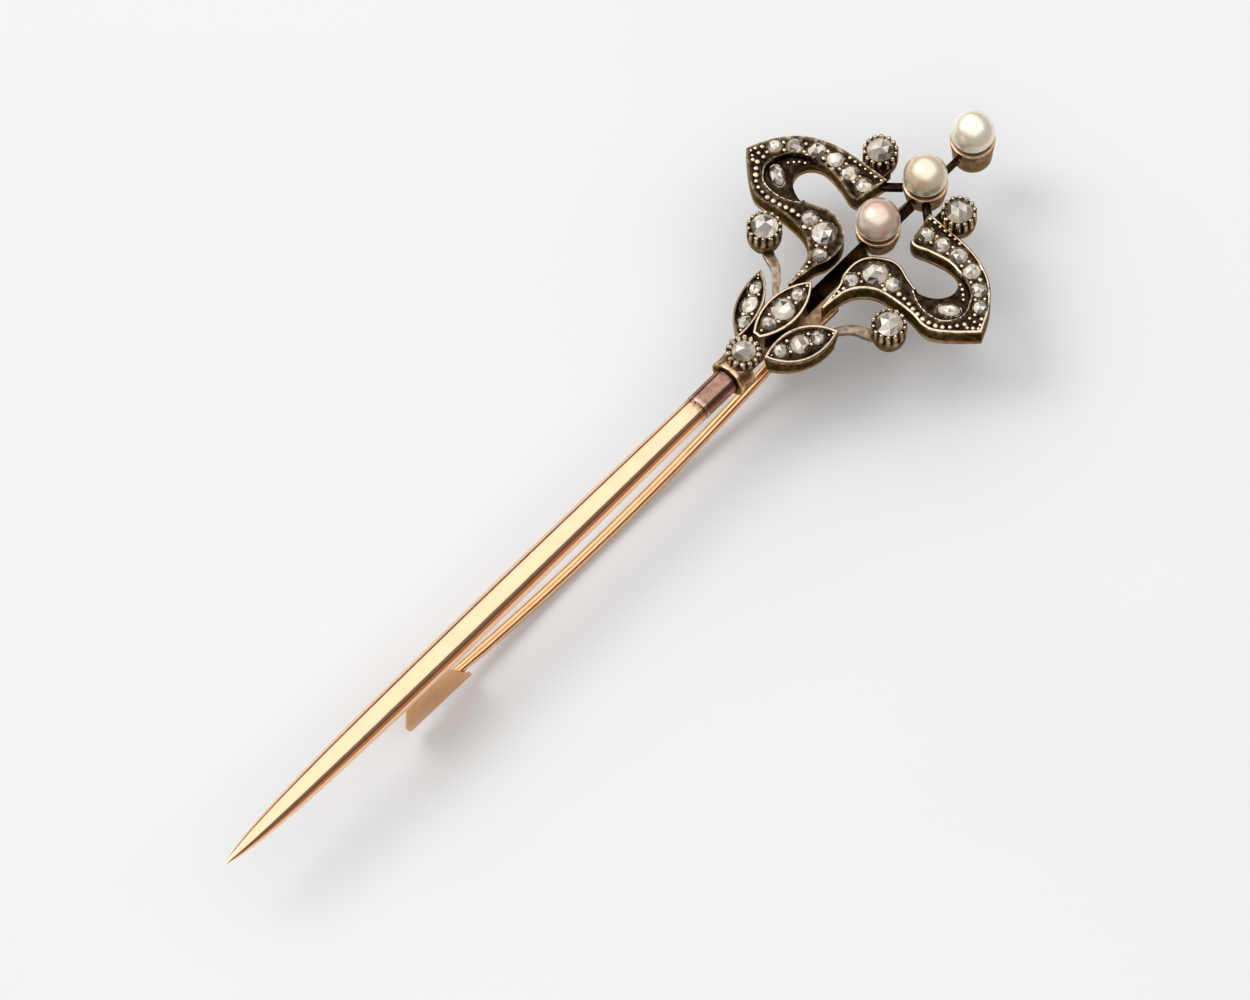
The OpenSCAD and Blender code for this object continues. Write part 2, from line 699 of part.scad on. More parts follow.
module catch() {
    color([0.82, 0.58, 0.36]) place() difference() {
        translate([0, catch_y1, lip_top_z]) rotate([-catch_slope, 0, 0]) catch_sheet();
        blade_body(solder_gap);
        // slanted mouth end
        translate([-far / 2, catch_y1, lip_top_z - catch_t]) rotate([catch_cut, 0, 0])
            translate([0, 0, -1]) cube(far);
    }
}

blade();
ferrule();
collar();
head_plug();
back_plate();
base_collet();
base_diamond();
centre_leaf();
centre_leaf_diamonds();
side_leaf(-1);  // left_leaf
side_leaf_diamonds(-1);  // left_leaf_diamonds
side_leaf(1);  // right_leaf
side_leaf_diamonds(1);  // right_leaf_diamonds
petal(-1);  // left_petal
petal_backing(-1);  // left_petal_backing
petal_diamonds(-1);  // left_petal_diamonds
petal(1);  // right_petal
petal_backing(1);  // right_petal_backing
petal_diamonds(1);  // right_petal_diamonds
outer_stem(-1);  // left_outer_stem
outer_collet(-1);  // left_outer_collet
outer_diamond(-1);  // left_outer_diamond
outer_stem(1);  // right_outer_stem
outer_collet(1);  // right_outer_collet
outer_diamond(1);  // right_outer_diamond
upper_neck(-1);  // left_upper_neck
upper_collet(-1);  // left_upper_collet
upper_diamond(-1);  // left_upper_diamond
upper_neck(1);  // right_upper_neck
upper_collet(1);  // right_upper_collet
upper_diamond(1);  // right_upper_diamond
link(-1);  // left_link
link(1);  // right_link
centre_bar();
lower_spine_bar();
upper_spine_bar();
pearl_cup(0);  // pearl_cup_1
pearl_cup(1);  // pearl_cup_2
pearl_cup(2);  // pearl_cup_3
pearl_peg(0);  // pearl_peg_1
pearl_peg(1);  // pearl_peg_2
pearl_peg(2);  // pearl_peg_3
pearl(0);  // pearl_1
pearl(1);  // pearl_2
pearl(2);  // pearl_3
hinge_bracket();
hinge_rivet();
pin_knuckle();
pin_stem();
catch();
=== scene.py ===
import math
import random

import bmesh
import bpy
import numpy as np
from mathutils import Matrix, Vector
from mathutils.geometry import delaunay_2d_cdt


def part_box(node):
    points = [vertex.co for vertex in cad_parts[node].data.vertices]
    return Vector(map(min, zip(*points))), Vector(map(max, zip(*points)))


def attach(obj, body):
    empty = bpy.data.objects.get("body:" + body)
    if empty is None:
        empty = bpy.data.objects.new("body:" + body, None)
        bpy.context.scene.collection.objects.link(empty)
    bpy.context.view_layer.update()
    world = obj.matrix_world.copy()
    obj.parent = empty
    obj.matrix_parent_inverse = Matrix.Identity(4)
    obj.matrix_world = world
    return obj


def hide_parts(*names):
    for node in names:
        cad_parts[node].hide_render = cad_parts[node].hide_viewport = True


# Looks of the stick brooch. Sizes are in millimetres in a working frame whose origin is the
# middle of the collar, on the blade's axis, with the pearls at +Y and the front facing +Z.
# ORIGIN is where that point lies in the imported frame, and MM turns millimetres into metres.

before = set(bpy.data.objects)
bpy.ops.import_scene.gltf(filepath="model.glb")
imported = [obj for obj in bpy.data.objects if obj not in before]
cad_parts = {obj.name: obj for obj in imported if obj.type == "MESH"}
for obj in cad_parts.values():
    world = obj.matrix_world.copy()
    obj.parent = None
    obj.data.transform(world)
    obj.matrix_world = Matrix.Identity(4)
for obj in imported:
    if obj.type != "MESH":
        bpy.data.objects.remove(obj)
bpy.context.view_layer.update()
MM = 0.001
ORIGIN = np.array(sum(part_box("collar"), Vector())) / 2 / MM


def box(node):
    """Lowest and highest corner of a CAD node, in the working frame."""
    low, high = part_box(node)
    return np.array(low) / MM - ORIGIN, np.array(high) / MM - ORIGIN


# ---- materials ----


class Shader:
    """A Principled material with short calls for the nodes that drive it."""

    def __init__(self, name, **sockets):
        self.material = bpy.data.materials.new(name)
        self.material.use_nodes = True
        self.tree = self.material.node_tree
        self.shader = self.tree.nodes["Principled BSDF"]
        for socket, value in sockets.items():
            self.shader.inputs[socket.replace("_", " ")].default_value = value

    def node(self, kind, links=(), **settings):
        made = self.tree.nodes.new("ShaderNode" + kind)
        for key, value in settings.items():
            setattr(made, key, value)
        for socket, source in dict(links).items():
            if isinstance(source, bpy.types.NodeSocket):
                self.tree.links.new(source, made.inputs[socket])
            else:
                made.inputs[socket].default_value = source
        return made

    def noise(self, size, detail, stretch=(1, 1, 1)):
        """Noise whose features are size millimetres across, from 0 to 1."""
        place = self.node("TexCoord").outputs["Object"]
        moved = self.node("Mapping", {"Vector": place, "Scale": stretch}).outputs["Vector"]
        links = {"Vector": moved, "Scale": 1 / (size * MM), "Detail": detail, "Roughness": 0.55}
        return self.node("TexNoise", links).outputs["Fac"]

    def attribute(self, name):
        return self.node("Attribute", attribute_name=name).outputs["Fac"]

    def math(self, operation, a, b):
        return self.node("Math", {0: a, 1: b}, operation=operation).outputs[0]

    def span(self, value, low, high, from_low=0.3, from_high=0.7):
        """The value mapped from one range to another. Noise lies mostly between 0.3 and 0.7."""
        links = {"Value": value, "From Min": from_low, "From Max": from_high, "To Min": low, "To Max": high}
        return self.node("MapRange", links).outputs["Result"]

    def ramp(self, value, stops):
        """Colour for a value, from stops of (value, colour)."""
        made = self.node("ValToRGB", {"Fac": value})
        bands = made.color_ramp.elements
        while len(bands) < len(stops):
            bands.new(0.5)
        for band, (place, colour) in zip(bands, stops):
            band.position = place
            band.color = (*colour, 1)
        return made.outputs["Color"]

    def drive(self, **sources):
        """Links each source to the shader's socket of that name."""
        for socket, source in sources.items():
            self.tree.links.new(source, self.shader.inputs[socket.replace("_", " ")])

    def bump(self, height, depth):
        """Bump whose full height is depth millimetres."""
        links = {"Height": height, "Distance": depth * MM, "Strength": 1.0}
        self.drive(Normal=self.node("Bump", links).outputs["Normal"])


def gold(name, light, dark, polish, scratch=0.002, lay=(1, 0.08, 1), mark=0.12):
    """Gold with smudges, and with grime where the grime attribute says. Its scratches are mark
    millimetres apart and scratch deep, and lay squeezes them along each axis."""
    made = Shader(name, Metallic=1.0)
    smudge = made.noise(1.6, 4)
    metal = made.ramp(smudge, [(0.3, dark), (0.62, light)])
    dirt = made.math("MULTIPLY", made.attribute("grime"), made.span(made.noise(0.35, 4), 0.3, 1.5))
    tint = made.node("MixRGB", {"Fac": dirt, "Color1": metal, "Color2": (*GRIME, 1)})
    made.drive(Base_Color=tint.outputs["Color"])
    made.drive(Roughness=made.span(made.math("ADD", smudge, dirt), 0.8 * polish, 1.4 * polish, 0.3, 1.2))
    made.bump(made.noise(mark, 3, stretch=lay), scratch)
    return made.material


def patinated(name, stops, rough_low, rough_high, spread=0.5, pit=0.02):
    """Metal that is dark in its recesses and rubbed bright where the wear attribute is high. The
    tarnish keeps it brown at a glancing angle, where bare metal turns white. Its blotches change
    the wear by up to half of spread, and its pits are pit millimetres deep."""
    made = Shader(name, Metallic=1.0, Specular_Tint=(*GLANCE, 1))
    blotch = made.noise(0.45, 5)
    worn = made.math("ADD", made.attribute("wear"), made.span(blotch, -spread / 2, spread / 2))
    made.drive(Base_Color=made.ramp(worn, stops))
    made.drive(Roughness=made.span(worn, rough_high, rough_low, 0.0, 1.0))
    made.bump(made.noise(0.11, 4), pit)
    return made.material


def stone(name, stops, rough):
    """Rose-cut stone whose facets carry painted light: each facet's colour, from dark to bright, stands in
    for the light reflected inside the stone.
    """
    made = Shader(name, Metallic=0.0, IOR=2.2, Roughness=rough, Transmission_Weight=0.0)
    painted_light = made.math("ADD", made.attribute("facet"), made.span(made.noise(0.5, 2), -0.12, 0.12))
    made.drive(Base_Color=made.ramp(painted_light, stops))
    made.bump(made.noise(0.25, 2), 0.004)
    return made.material


def nacre(name, overtones, glow):
    """Pearl with a lustrous, cloudy body under a clear coat, and a glow of its own colour at the rim.
    The overtones are its colours from the deepest to the palest."""
    made = Shader(name, Metallic=0.4, Roughness=0.3, IOR=1.7, Coat_Weight=1.0, Coat_Roughness=0.12,
                  Coat_IOR=1.6, Sheen_Weight=0.2, Sheen_Roughness=0.3, Sheen_Tint=(*glow, 1))
    made.shader.inputs["Subsurface Weight"].default_value = 0.25
    made.shader.inputs["Subsurface Radius"].default_value = (0.9, 0.6, 0.45)
    made.shader.inputs["Subsurface Scale"].default_value = 0.6 * MM
    cloud = made.noise(1.8, 2)
    made.drive(Base_Color=made.ramp(cloud, list(zip((0.34, 0.48, 0.64), overtones))))
    made.bump(made.noise(0.3, 3), 0.003)
    return made.material


# Colour of dirt on gold, and of tarnished metal at a glancing angle
GRIME = (0.06, 0.03, 0.02)
GLANCE = (0.62, 0.52, 0.4)
# Colours of each patinated metal from its recesses to its rubbed edges, and the painted light of a stone's
# facets, from its dark to its bright reflections
SILVER_STOPS = [(0.0, (0.012, 0.007, 0.004)), (0.3, (0.048, 0.032, 0.019)),
                (0.62, (0.2, 0.145, 0.092)), (0.95, (0.72, 0.58, 0.42))]
CUP_STOPS = [(0.0, (0.07, 0.042, 0.024)), (0.35, (0.24, 0.16, 0.095)),
             (0.7, (0.5, 0.34, 0.21)), (1.0, (0.8, 0.55, 0.37))]
FERRULE_STOPS = [(0.0, (0.04, 0.02, 0.014)), (0.35, (0.24, 0.13, 0.1)),
                 (0.7, (0.5, 0.3, 0.235)), (1.0, (0.74, 0.48, 0.36))]
STEM_STOPS = [(0.0, (0.06, 0.045, 0.03)), (0.4, (0.22, 0.16, 0.11)),
              (0.8, (0.52, 0.4, 0.3)), (1.0, (0.7, 0.56, 0.44))]
BACKING_STOPS = [(0.0, (0.07, 0.04, 0.02)), (0.35, (0.24, 0.145, 0.08)),
                 (0.8, (0.55, 0.35, 0.2)), (1.0, (0.75, 0.5, 0.3))]
STONE_PAINTED_LIGHT_STOPS = [(0.0, (0.03, 0.022, 0.015)), (0.25, (0.15, 0.12, 0.085)),
               (0.6, (0.44, 0.38, 0.29)), (1.0, (0.88, 0.82, 0.72))]

BLADE_GOLD = gold("blade_gold", (0.95, 0.62, 0.4), (0.93, 0.58, 0.36), 0.13)
STEM_GOLD = gold("pin_gold", (0.93, 0.54, 0.29), (0.88, 0.48, 0.24), 0.2)
CATCH_GOLD = gold("catch_gold", (0.78, 0.42, 0.18), (0.68, 0.35, 0.14), 0.28, 0.05, (0.25, 1, 0.25), 0.35)
HINGE_GOLD = gold("hinge_gold", (0.78, 0.46, 0.25), (0.6, 0.33, 0.17), 0.3, 0.006)
SILVER = patinated("old_silver", SILVER_STOPS, 0.16, 0.42, 0.45, 0.01)
CUP_GOLD = patinated("cup_gold", CUP_STOPS, 0.14, 0.36, 0.35, 0.008)
COLLAR_GOLD = patinated("collar_gold", CUP_STOPS, 0.12, 0.34, 0.4, 0.004)
FERRULE_GOLD = patinated("ferrule_gold", FERRULE_STOPS, 0.08, 0.2, 0.25, 0.002)
OUTER_STEM_GILT = patinated("worn_gilt", STEM_STOPS, 0.24, 0.42, 0.5, 0.01)
BACKING_GOLD = patinated("backing_gold", BACKING_STOPS, 0.24, 0.45, 0.5, 0.008)
DIAMOND = stone("rose_cut", STONE_PAINTED_LIGHT_STOPS, 0.06)
PINK_OVERTONES = [(0.56, 0.34, 0.26), (0.7, 0.48, 0.38), (0.74, 0.62, 0.49)]
CREAM_OVERTONES = [(0.66, 0.51, 0.33), (0.78, 0.66, 0.46), (0.84, 0.75, 0.58)]
IVORY_OVERTONES = [(0.78, 0.66, 0.52), (0.86, 0.79, 0.63), (0.9, 0.85, 0.72)]
PEARLS = [nacre("pearl_pink", PINK_OVERTONES, (1.0, 0.68, 0.55)),
          nacre("pearl_cream", CREAM_OVERTONES, (1.0, 0.85, 0.6)),
          nacre("pearl_ivory", IVORY_OVERTONES, (1.0, 0.92, 0.75))]


# ---- meshes ----


def finish_piece(mesh, name, material, body, replaced, sharp):
    """Wraps a mesh in an object that rides on a body and stands for CAD nodes. Edges that turn by
    more than sharp degrees stay sharp, and 0 leaves every face flat."""
    for polygon in mesh.polygons:
        polygon.use_smooth = sharp > 0
    if sharp > 0:
        mesh.set_sharp_from_angle(angle=math.radians(sharp))
    piece = bpy.data.objects.new(name, mesh)
    bpy.context.scene.collection.objects.link(piece)
    mesh.materials.append(material)
    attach(piece, body)
    if replaced:
        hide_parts(*replaced)
    return piece


def build(name, parts, material, body="root", replaced=(), sharp=40, attribute="wear"):
    """One piece from parts, which are (vertices, faces, values). The values are per vertex,
    or per face for facets, and go into the named attribute."""
    verts, faces, values = [], [], []
    for part_verts, part_faces, part_values in parts:
        start = len(verts)
        verts.extend(((np.asarray(part_verts, float) + ORIGIN) * MM).tolist())
        faces.extend([[i + start for i in face] for face in part_faces])
        values.extend(part_values)
    mesh = bpy.data.meshes.new(name)
    mesh.from_pydata(verts, [], faces)
    domain = "FACE" if attribute == "facet" else "POINT"
    mesh.attributes.new(attribute, "FLOAT", domain).data.foreach_set("value", np.array(values, np.float32))
    bm = bmesh.new()
    bm.from_mesh(mesh)
    bmesh.ops.recalc_face_normals(bm, faces=bm.faces)
    bm.to_mesh(mesh)
    bm.free()
    return finish_piece(mesh, name, material, body, replaced, sharp)


WELD = 2e-5          # corners closer than this are one, in millimetres
EDGE_WEAR = 0.8
SHARP = math.radians(38)


def welded(node):
    """Editable copy of a CAD node's mesh, with its doubled corners joined."""
    bm = bmesh.new()
    bm.from_mesh(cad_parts[node].data)
    bmesh.ops.remove_doubles(bm, verts=bm.verts, dist=WELD * MM)
    return bm


def refined(node, name, width, material, body="root", attribute="wear", base=0.35):
    """A CAD node's shape with its sharp edges rounded over. The base value goes on its faces,
    and for wear a high one goes on the rounded edges."""
    bm = welded(node)
    bmesh.ops.dissolve_limit(bm, angle_limit=math.radians(0.4), verts=bm.verts, edges=bm.edges)
    layer = bm.faces.layers.float.new(attribute)
    sharp = [e for e in bm.edges if len(e.link_faces) == 2 and e.calc_face_angle() > SHARP]
    rounded = bmesh.ops.bevel(bm, geom=sharp, offset=width * MM, segments=2, profile=0.5,
                              affect="EDGES", clamp_overlap=True)
    for face in bm.faces:
        face[layer] = base
    if attribute == "wear":
        for face in rounded["faces"]:
            face[layer] = EDGE_WEAR
    bmesh.ops.triangulate(bm, faces=[f for f in bm.faces if len(f.verts) > 4])
    bmesh.ops.recalc_face_normals(bm, faces=bm.faces)
    mesh = bpy.data.meshes.new(name)
    bm.to_mesh(mesh)
    bm.free()
    return finish_piece(mesh, name, material, body, [node], 34)


def lathe(profile, around, values, centre=(0, 0, 0), along="z", shape=None):
    """Turns a profile of (radius, height) about an axis through centre. A radius of 0 is a pole.
    shape(angle, i) scales the radius at ring i."""
    verts, faces, out = [], [], []
    rings = []
    for i, (radius, height) in enumerate(profile):
        count = 1 if radius == 0 else around
        rings.append((len(verts), count))
        for k in range(count):
            angle = 2 * math.pi * k / around
            r = radius * (shape(angle, i) if shape else 1)
            x, y = r * math.cos(angle), r * math.sin(angle)
            point = (x, y, height) if along == "z" else (x, height, -y)
            verts.append(np.array(point) + centre)
            out.append(values[i])
    for (a, na), (b, nb) in zip(rings, rings[1:]):
        for k in range(around):
            n = (k + 1) % around
            if na > 1 and nb > 1:
                faces.append([a + k, a + n, b + n, b + k])
            elif na > 1:
                faces.append([a + k, a + n, b])
            elif nb > 1:
                faces.append([a, b + n, b + k])
    return verts, faces, out


def bezier(a, b, c, d, count):
    """Cubic curve from a to d with handles b and c."""
    t = np.linspace(0, 1, count + 1)[:, None]
    a, b, c, d = (np.array(p, float) for p in (a, b, c, d))
    return (1 - t) ** 3 * a + 3 * (1 - t) ** 2 * t * b + 3 * (1 - t) * t ** 2 * c + t ** 3 * d


def smooth_line(points, steps=8):
    """Smooth curve through the points, with a number of steps between neighbours."""
    p = np.array(points, float)
    out = []
    for i in range(len(p) - 1):
        a, b, c, d = p[max(i - 1, 0)], p[i], p[i + 1], p[min(i + 2, len(p) - 1)]
        for t in np.arange(steps) / steps:
            out.append(0.5 * (2 * b + (c - a) * t + (2 * a - 5 * b + 4 * c - d) * t ** 2
                              + (3 * b - a - 3 * c + d) * t ** 3))
    out.append(p[-1])
    return np.array(out)


def respaced(line, gap):
    """Points along a line at about equal gaps, with its ends kept."""
    steps = np.linalg.norm(np.diff(line, axis=0), axis=1)
    reach = np.concatenate([[0], np.cumsum(steps)])
    stations = np.linspace(0, reach[-1], max(2, round(reach[-1] / gap) + 1))
    return np.stack([np.interp(stations, reach, line[:, i]) for i in range(line.shape[1])], axis=1)


def sides(line):
    """Unit normal of a closed line at each of its points, to its left."""
    run = np.roll(line, -1, axis=0) - np.roll(line, 1, axis=0)
    return np.stack([-run[:, 1], run[:, 0]], axis=1) / np.linalg.norm(run, axis=1)[:, None]


def distance(points, outline):
    """Distance from each point to a closed outline."""
    start, end = outline, np.roll(outline, -1, axis=0)
    run = end - start
    length = np.maximum((run ** 2).sum(1), 1e-12)
    best = np.full(len(points), 1e9)
    for a, r, n in zip(start, run, length):
        t = np.clip(((points - a) @ r) / n, 0, 1)
        best = np.minimum(best, np.linalg.norm(points - a - t[:, None] * r, axis=1))
    return best


def inside(points, outline):
    """Which points lie inside a closed outline."""
    hits = np.zeros(len(points), bool)
    for a, b in zip(outline, np.roll(outline, -1, axis=0)):
        if a[1] == b[1]:
            continue
        spans = (a[1] > points[:, 1]) != (b[1] > points[:, 1])
        crossing = a[0] + (points[:, 1] - a[1]) * (b[0] - a[0]) / (b[1] - a[1])
        hits ^= spans & (points[:, 0] < crossing)
    return hits


def rise(x, low, high):
    """0 below low, 1 above high and smooth between them."""
    t = np.clip((x - low) / (high - low), 0, 1)
    return t * t * (3 - 2 * t)


# ---- stones ----


class Stone:
    """Seat of a stone, read from its CAD solid: centre of its flat back, axes and half widths."""

    def __init__(self, centre, axis, along, across, half_long, half_wide):
        self.centre, self.axis, self.along, self.across = centre, axis, along, across
        self.half_long, self.half_wide = half_long, half_wide

    def gap(self, points):
        """Distance outside the stone's edge, measured in the plane of its back."""
        out = points - self.centre
        u = out @ self.along / self.half_long
        v = out @ self.across / self.half_wide
        return (np.sqrt(u * u + v * v) - 1) * self.half_wide


def stones_of(node):
    """The stones of a CAD node, in order along Y."""
    bm = welded(node)
    found, seen = [], set()
    for first in bm.faces:
        if first in seen:
            continue
        island, queue = [], [first]
        seen.add(first)
        while queue:
            face = queue.pop()
            island.append(face)
            for edge in face.edges:
                for other in edge.link_faces:
                    if other not in seen:
                        seen.add(other)
                        queue.append(other)
        backs = {}
        for face in island:
            if face.normal.z < -0.5:
                key = tuple(round(x, 2) for x in face.normal)
                backs.setdefault(key, []).append(face)
        flat = max(backs.values(), key=lambda faces: sum(f.calc_area() for f in faces))
        axis = -np.array(flat[0].normal)
        rim = np.array(sorted({tuple(v.co) for f in flat for v in f.verts})) / MM - ORIGIN
        centre = (rim.max(0) + rim.min(0)) / 2
        spread, ways = np.linalg.eigh((rim - centre).T @ (rim - centre) / len(rim))
        along, across = ways[:, 2], ways[:, 1]
        reach = [np.abs((rim - centre) @ way).max() for way in (along, across)]
        found.append(Stone(centre, axis, along, across, *reach))
    bm.free()
    return sorted(found, key=lambda s: (round(s.centre[1], 3), round(s.centre[0], 3)))


def rose_cut(seat, rng):
    """Facets of a rose cut: a low girdle, six outer facets and six at the top. A long stone
    sits deeper in its seat, so it is thicker below the girdle."""
    spin = rng.uniform(0, math.pi / 3)
    high = 0.9 * seat.half_wide
    below = 0.22 if seat.half_long > 1.3 * seat.half_wide else 0.0
    verts = []

    def ring(count, radius, height, turn, jitter):
        for k in range(count):
            angle = spin + turn + 2 * math.pi * k / count
            r = radius * (1 + rng.uniform(-jitter, jitter))
            lift = height * (1 + rng.uniform(-jitter, jitter))
            verts.append(seat.centre + seat.along * seat.half_long * r * math.cos(angle)
                         + seat.across * seat.half_wide * r * math.sin(angle) + seat.axis * lift)

    ring(12, 0.98, 0.0, 0, 0)
    ring(12, 0.995, 0.42 * high + below, 0, 0.004)
    ring(6, 0.66, 0.84 * high + below, 0, 0.07)
    offset = np.array([rng.uniform(-0.08, 0.08) for _ in range(2)])
    verts.append(seat.centre + seat.axis * (high + below) + seat.along * offset[0] + seat.across * offset[1])
    faces = [list(range(11, -1, -1))]
    for k in range(12):
        faces.append([k, (k + 1) % 12, 12 + (k + 1) % 12, 12 + k])
    for k in range(6):
        crown, after = 24 + k, 24 + (k + 1) % 6
        left, mid, right = 12 + 2 * k, 12 + (2 * k + 1) % 12, 12 + (2 * k + 2) % 12
        faces += [[left, mid, right, after, crown], [crown, after, 30]]
    # Each face gets a value of painted light: dark and bright facets stand in for light reflected inside the
    # stone
    painted_facet_light = [0.3] + [rng.uniform(0.0, 0.5) for _ in range(12)]
    for k in range(12):
        painted_facet_light.append(rng.choice([rng.uniform(0.05, 0.3), rng.uniform(0.45, 0.7), rng.uniform(0.65, 1.0)]))
    return verts, faces, painted_facet_light


def stone_set(node, name):
    """Cuts all the stones of a CAD node and gives their seats."""
    rng = random.Random(name)
    seats = stones_of(node)
    build(name, [rose_cut(seat, rng) for seat in seats], DIAMOND, replaced=[node],
          sharp=0, attribute="facet")
    return seats


# ---- grains ----

GRAIN_SHIFT = 0.025   # most that a grain strays from its place, along X and along Y


def grain(centre, radius, squash):
    """Small raised bead of metal, bright on top."""
    bm = bmesh.new()
    bmesh.ops.create_icosphere(bm, subdivisions=2, radius=1)
    verts = [np.array(v.co) * (radius, radius, radius * squash) + centre for v in bm.verts]
    values = [0.35 + 0.7 * max(v.co.z, 0) for v in bm.verts]
    faces = [[v.index for v in f.verts] for f in bm.faces]
    bm.free()
    return verts, faces, values


def grains(name, spots):
    """Grains raised by hand, so that no two are the same size."""
    rng = random.Random(name)
    parts = []
    for place, radius in spots:
        shift = (rng.uniform(-GRAIN_SHIFT, GRAIN_SHIFT), rng.uniform(-GRAIN_SHIFT, GRAIN_SHIFT), 0)
        size = radius * rng.uniform(0.85, 1.25)
        parts.append(grain(np.array(place) + shift, size, rng.uniform(0.65, 0.95)))
    build(name, parts, SILVER, sharp=80)


# ---- pavé faces ----

RIM = 0.17                # width of the raised border
RIM_SLOPE = 0.08          # width of the slope from the border down to the ground
SINK = 0.15               # depth of the ground between stones below the border
LIP = 0.13                # height of the metal pushed up against a stone
LIP_OUT = 0.07            # distance from a stone's edge to the lip's crest
LIP_WIDE = 0.06           # half width of the lip
THREAD = 0.06             # height of a curl's raised edge above the border
THREAD_OUT = 0.11         # distance from the curl to the raised edge's crest
THREAD_WIDE = 0.08        # half width of the raised edge
SEAT_SINK = 0.3           # depth of a stone's seat below the ground
ROUNDING = 0.06           # drop and width of the rounding at the border's outer edge
WALL_WEAR = (0.55, 0.3)   # wear at the top of a wall and below it
WALL_DROPS = (0.1, 0.3, 0.6, 1.0)   # rings down a wall, as shares of its height
ARC_STEP = 0.1            # spacing of points on a clipped outline's arc
POINT_GAP = 0.033         # least distance between two points of a face
CELL = 0.035              # cell of the grid that finds a point's neighbours
# Distances of the rows of points inside the outline, round a stone and on both sides of a curl
ROW_OFFSETS = (0.04, 0.1, RIM, RIM + RIM_SLOPE / 2, RIM + RIM_SLOPE)
RING_OFFSETS = (-0.07, -0.02, 0.03, 0.07, 0.12, 0.18)
CURL_OFFSETS = (0.03, 0.09, 0.15, 0.22)
NEIGHBOUR_GAP = 0.72      # widest gap between two stones that grains stand beside
PAIR_TRIES = (0.34, 0.44, 0.54)   # distances of a pair's grains from the line through two stones
PAIR_APART = 0.3          # least distance between the grains of such pairs


def clipped(outline, centre, radius):
    """The outline with the part inside a circle replaced by the circle's arc."""
    centre = np.array(centre, float)
    far_off = np.linalg.norm(outline - centre, axis=1) >= radius
    if far_off.all():
        return outline
    start = next(i for i in range(len(outline)) if far_off[i - 1] and not far_off[i])
    order = np.roll(np.arange(len(outline)), -start)
    kept = outline[order[far_off[order]]]
    first, last = kept[-1] - centre, kept[0] - centre
    a, b = math.atan2(first[1], first[0]), math.atan2(last[1], last[0])
    turn = (b - a + math.pi) % (2 * math.pi) - math.pi
    steps = max(2, round(abs(turn) * radius / ARC_STEP))
    angles = a + turn * np.arange(1, steps) / steps
    arc = centre + radius * np.stack([np.cos(angles), np.sin(angles)], axis=1)
    return np.concatenate([kept, arc])


def face_points(outline, seats, curl=None, gap=0.12):
    """Points for a pavé face: its outline, rows beside the border, rings round the stones and a grid."""
    normal = sides(outline)
    if not inside(outline[:1] + 0.02 * normal[:1], outline)[0]:
        normal = -normal
    rows = []
    for offset in ROW_OFFSETS:
        row = outline + offset * normal
        rows.append(row[distance(row, outline) > 0.9 * offset])
    rings = []
    for seat in seats:
        for offset in RING_OFFSETS:
            count = round(2 * math.pi * seat.half_long / 0.09)
            angle = np.arange(count) * 2 * math.pi / count
            ring = (seat.centre + np.outer(np.cos(angle) * (seat.half_long + offset), seat.along)
                    + np.outer(np.sin(angle) * (seat.half_wide + offset), seat.across))
            rings.append(ring[:, :2])
    low, high = outline.min(0), outline.max(0)
    grid = np.stack(np.meshgrid(np.arange(low[0], high[0], gap), np.arange(low[1], high[1], gap)), -1)
    loose = [grid.reshape(-1, 2)] + rings
    if curl is not None:
        side = sides(curl)
        for offset in CURL_OFFSETS:
            loose += [curl + offset * side, curl - offset * side]
    loose = np.concatenate(loose)
    loose = loose[inside(loose, outline) & (distance(loose, outline) > RIM + 1.2 * RIM_SLOPE)]
    points = np.concatenate([outline] + [row[inside(row, outline)] for row in rows] + [loose])
    kept, taken = [], {}
    for i, p in enumerate(points):
        cell = (int(p[0] // CELL), int(p[1] // CELL))
        near = [taken[c] for c in ((cell[0] + a, cell[1] + b) for a in (-1, 0, 1) for b in (-1, 0, 1))
                if c in taken]
        if i < len(outline) or all(np.hypot(*(points[j] - p)) > POINT_GAP for j in near):
            kept.append(i)
            taken[cell] = i
    return points[kept]


def pave(outline, face_z, floor, seats, curl=None, curl_depth=0.0, gap=0.12, taper=0.0):
    """Solid with a pavé face. face_z gives the face's height over (x, y). Inside the curl the ground
    lies curl_depth down, with a raised edge round it. The walls go down to floor and draw in by the
    share taper."""
    points = face_points(outline, seats, curl, gap)
    ring = list(range(len(outline)))
    verts, _, faces, *_ = delaunay_2d_cdt([Vector(p) for p in points], [], [ring], 1, 1e-6)
    flat = np.array([tuple(v) for v in verts])
    plane = face_z(flat)
    solid = np.column_stack([flat, plane])
    edge = distance(flat, outline)
    ground = np.full(len(flat), -SINK)
    border = 1 - rise(edge, RIM, RIM + RIM_SLOPE)
    lift = ground.copy()
    if curl is not None:
        reach = distance(flat, curl) * np.where(inside(flat, curl), -1, 1)
        sunk = rise(-reach, 0.0, 0.07)
        ground = ground - (curl_depth - SINK) * sunk
        border = border * (1 - sunk)
        thread = np.exp(-((reach - THREAD_OUT) / THREAD_WIDE) ** 2) * rise(reach, -0.03, 0.03)
        lift = ground + (SINK + THREAD) * thread
    lift = lift * (1 - border)
    near = np.full(len(flat), 9.0)
    for seat in seats:
        q = seat.gap(solid)
        near = np.minimum(near, np.abs(q - LIP_OUT))
        lip = ground + LIP * np.exp(-((q - LIP_OUT) / LIP_WIDE) ** 2)
        lift = np.where(q > 0, np.maximum(lift, lip), lift)
        lift = lift - SEAT_SINK * rise(-q, 0.0, 0.05)
    lift = lift - ROUNDING * (1 - rise(edge, 0, ROUNDING))
    wear = np.clip(0.12 + 0.9 * (lift - ground) / SINK, 0, 1)
    wear = np.where(near < 0.05, np.minimum(wear, 0.8), wear)
    top = np.column_stack([flat, plane + lift])
    return walled(top, [list(f) for f in faces], wear, floor, taper)


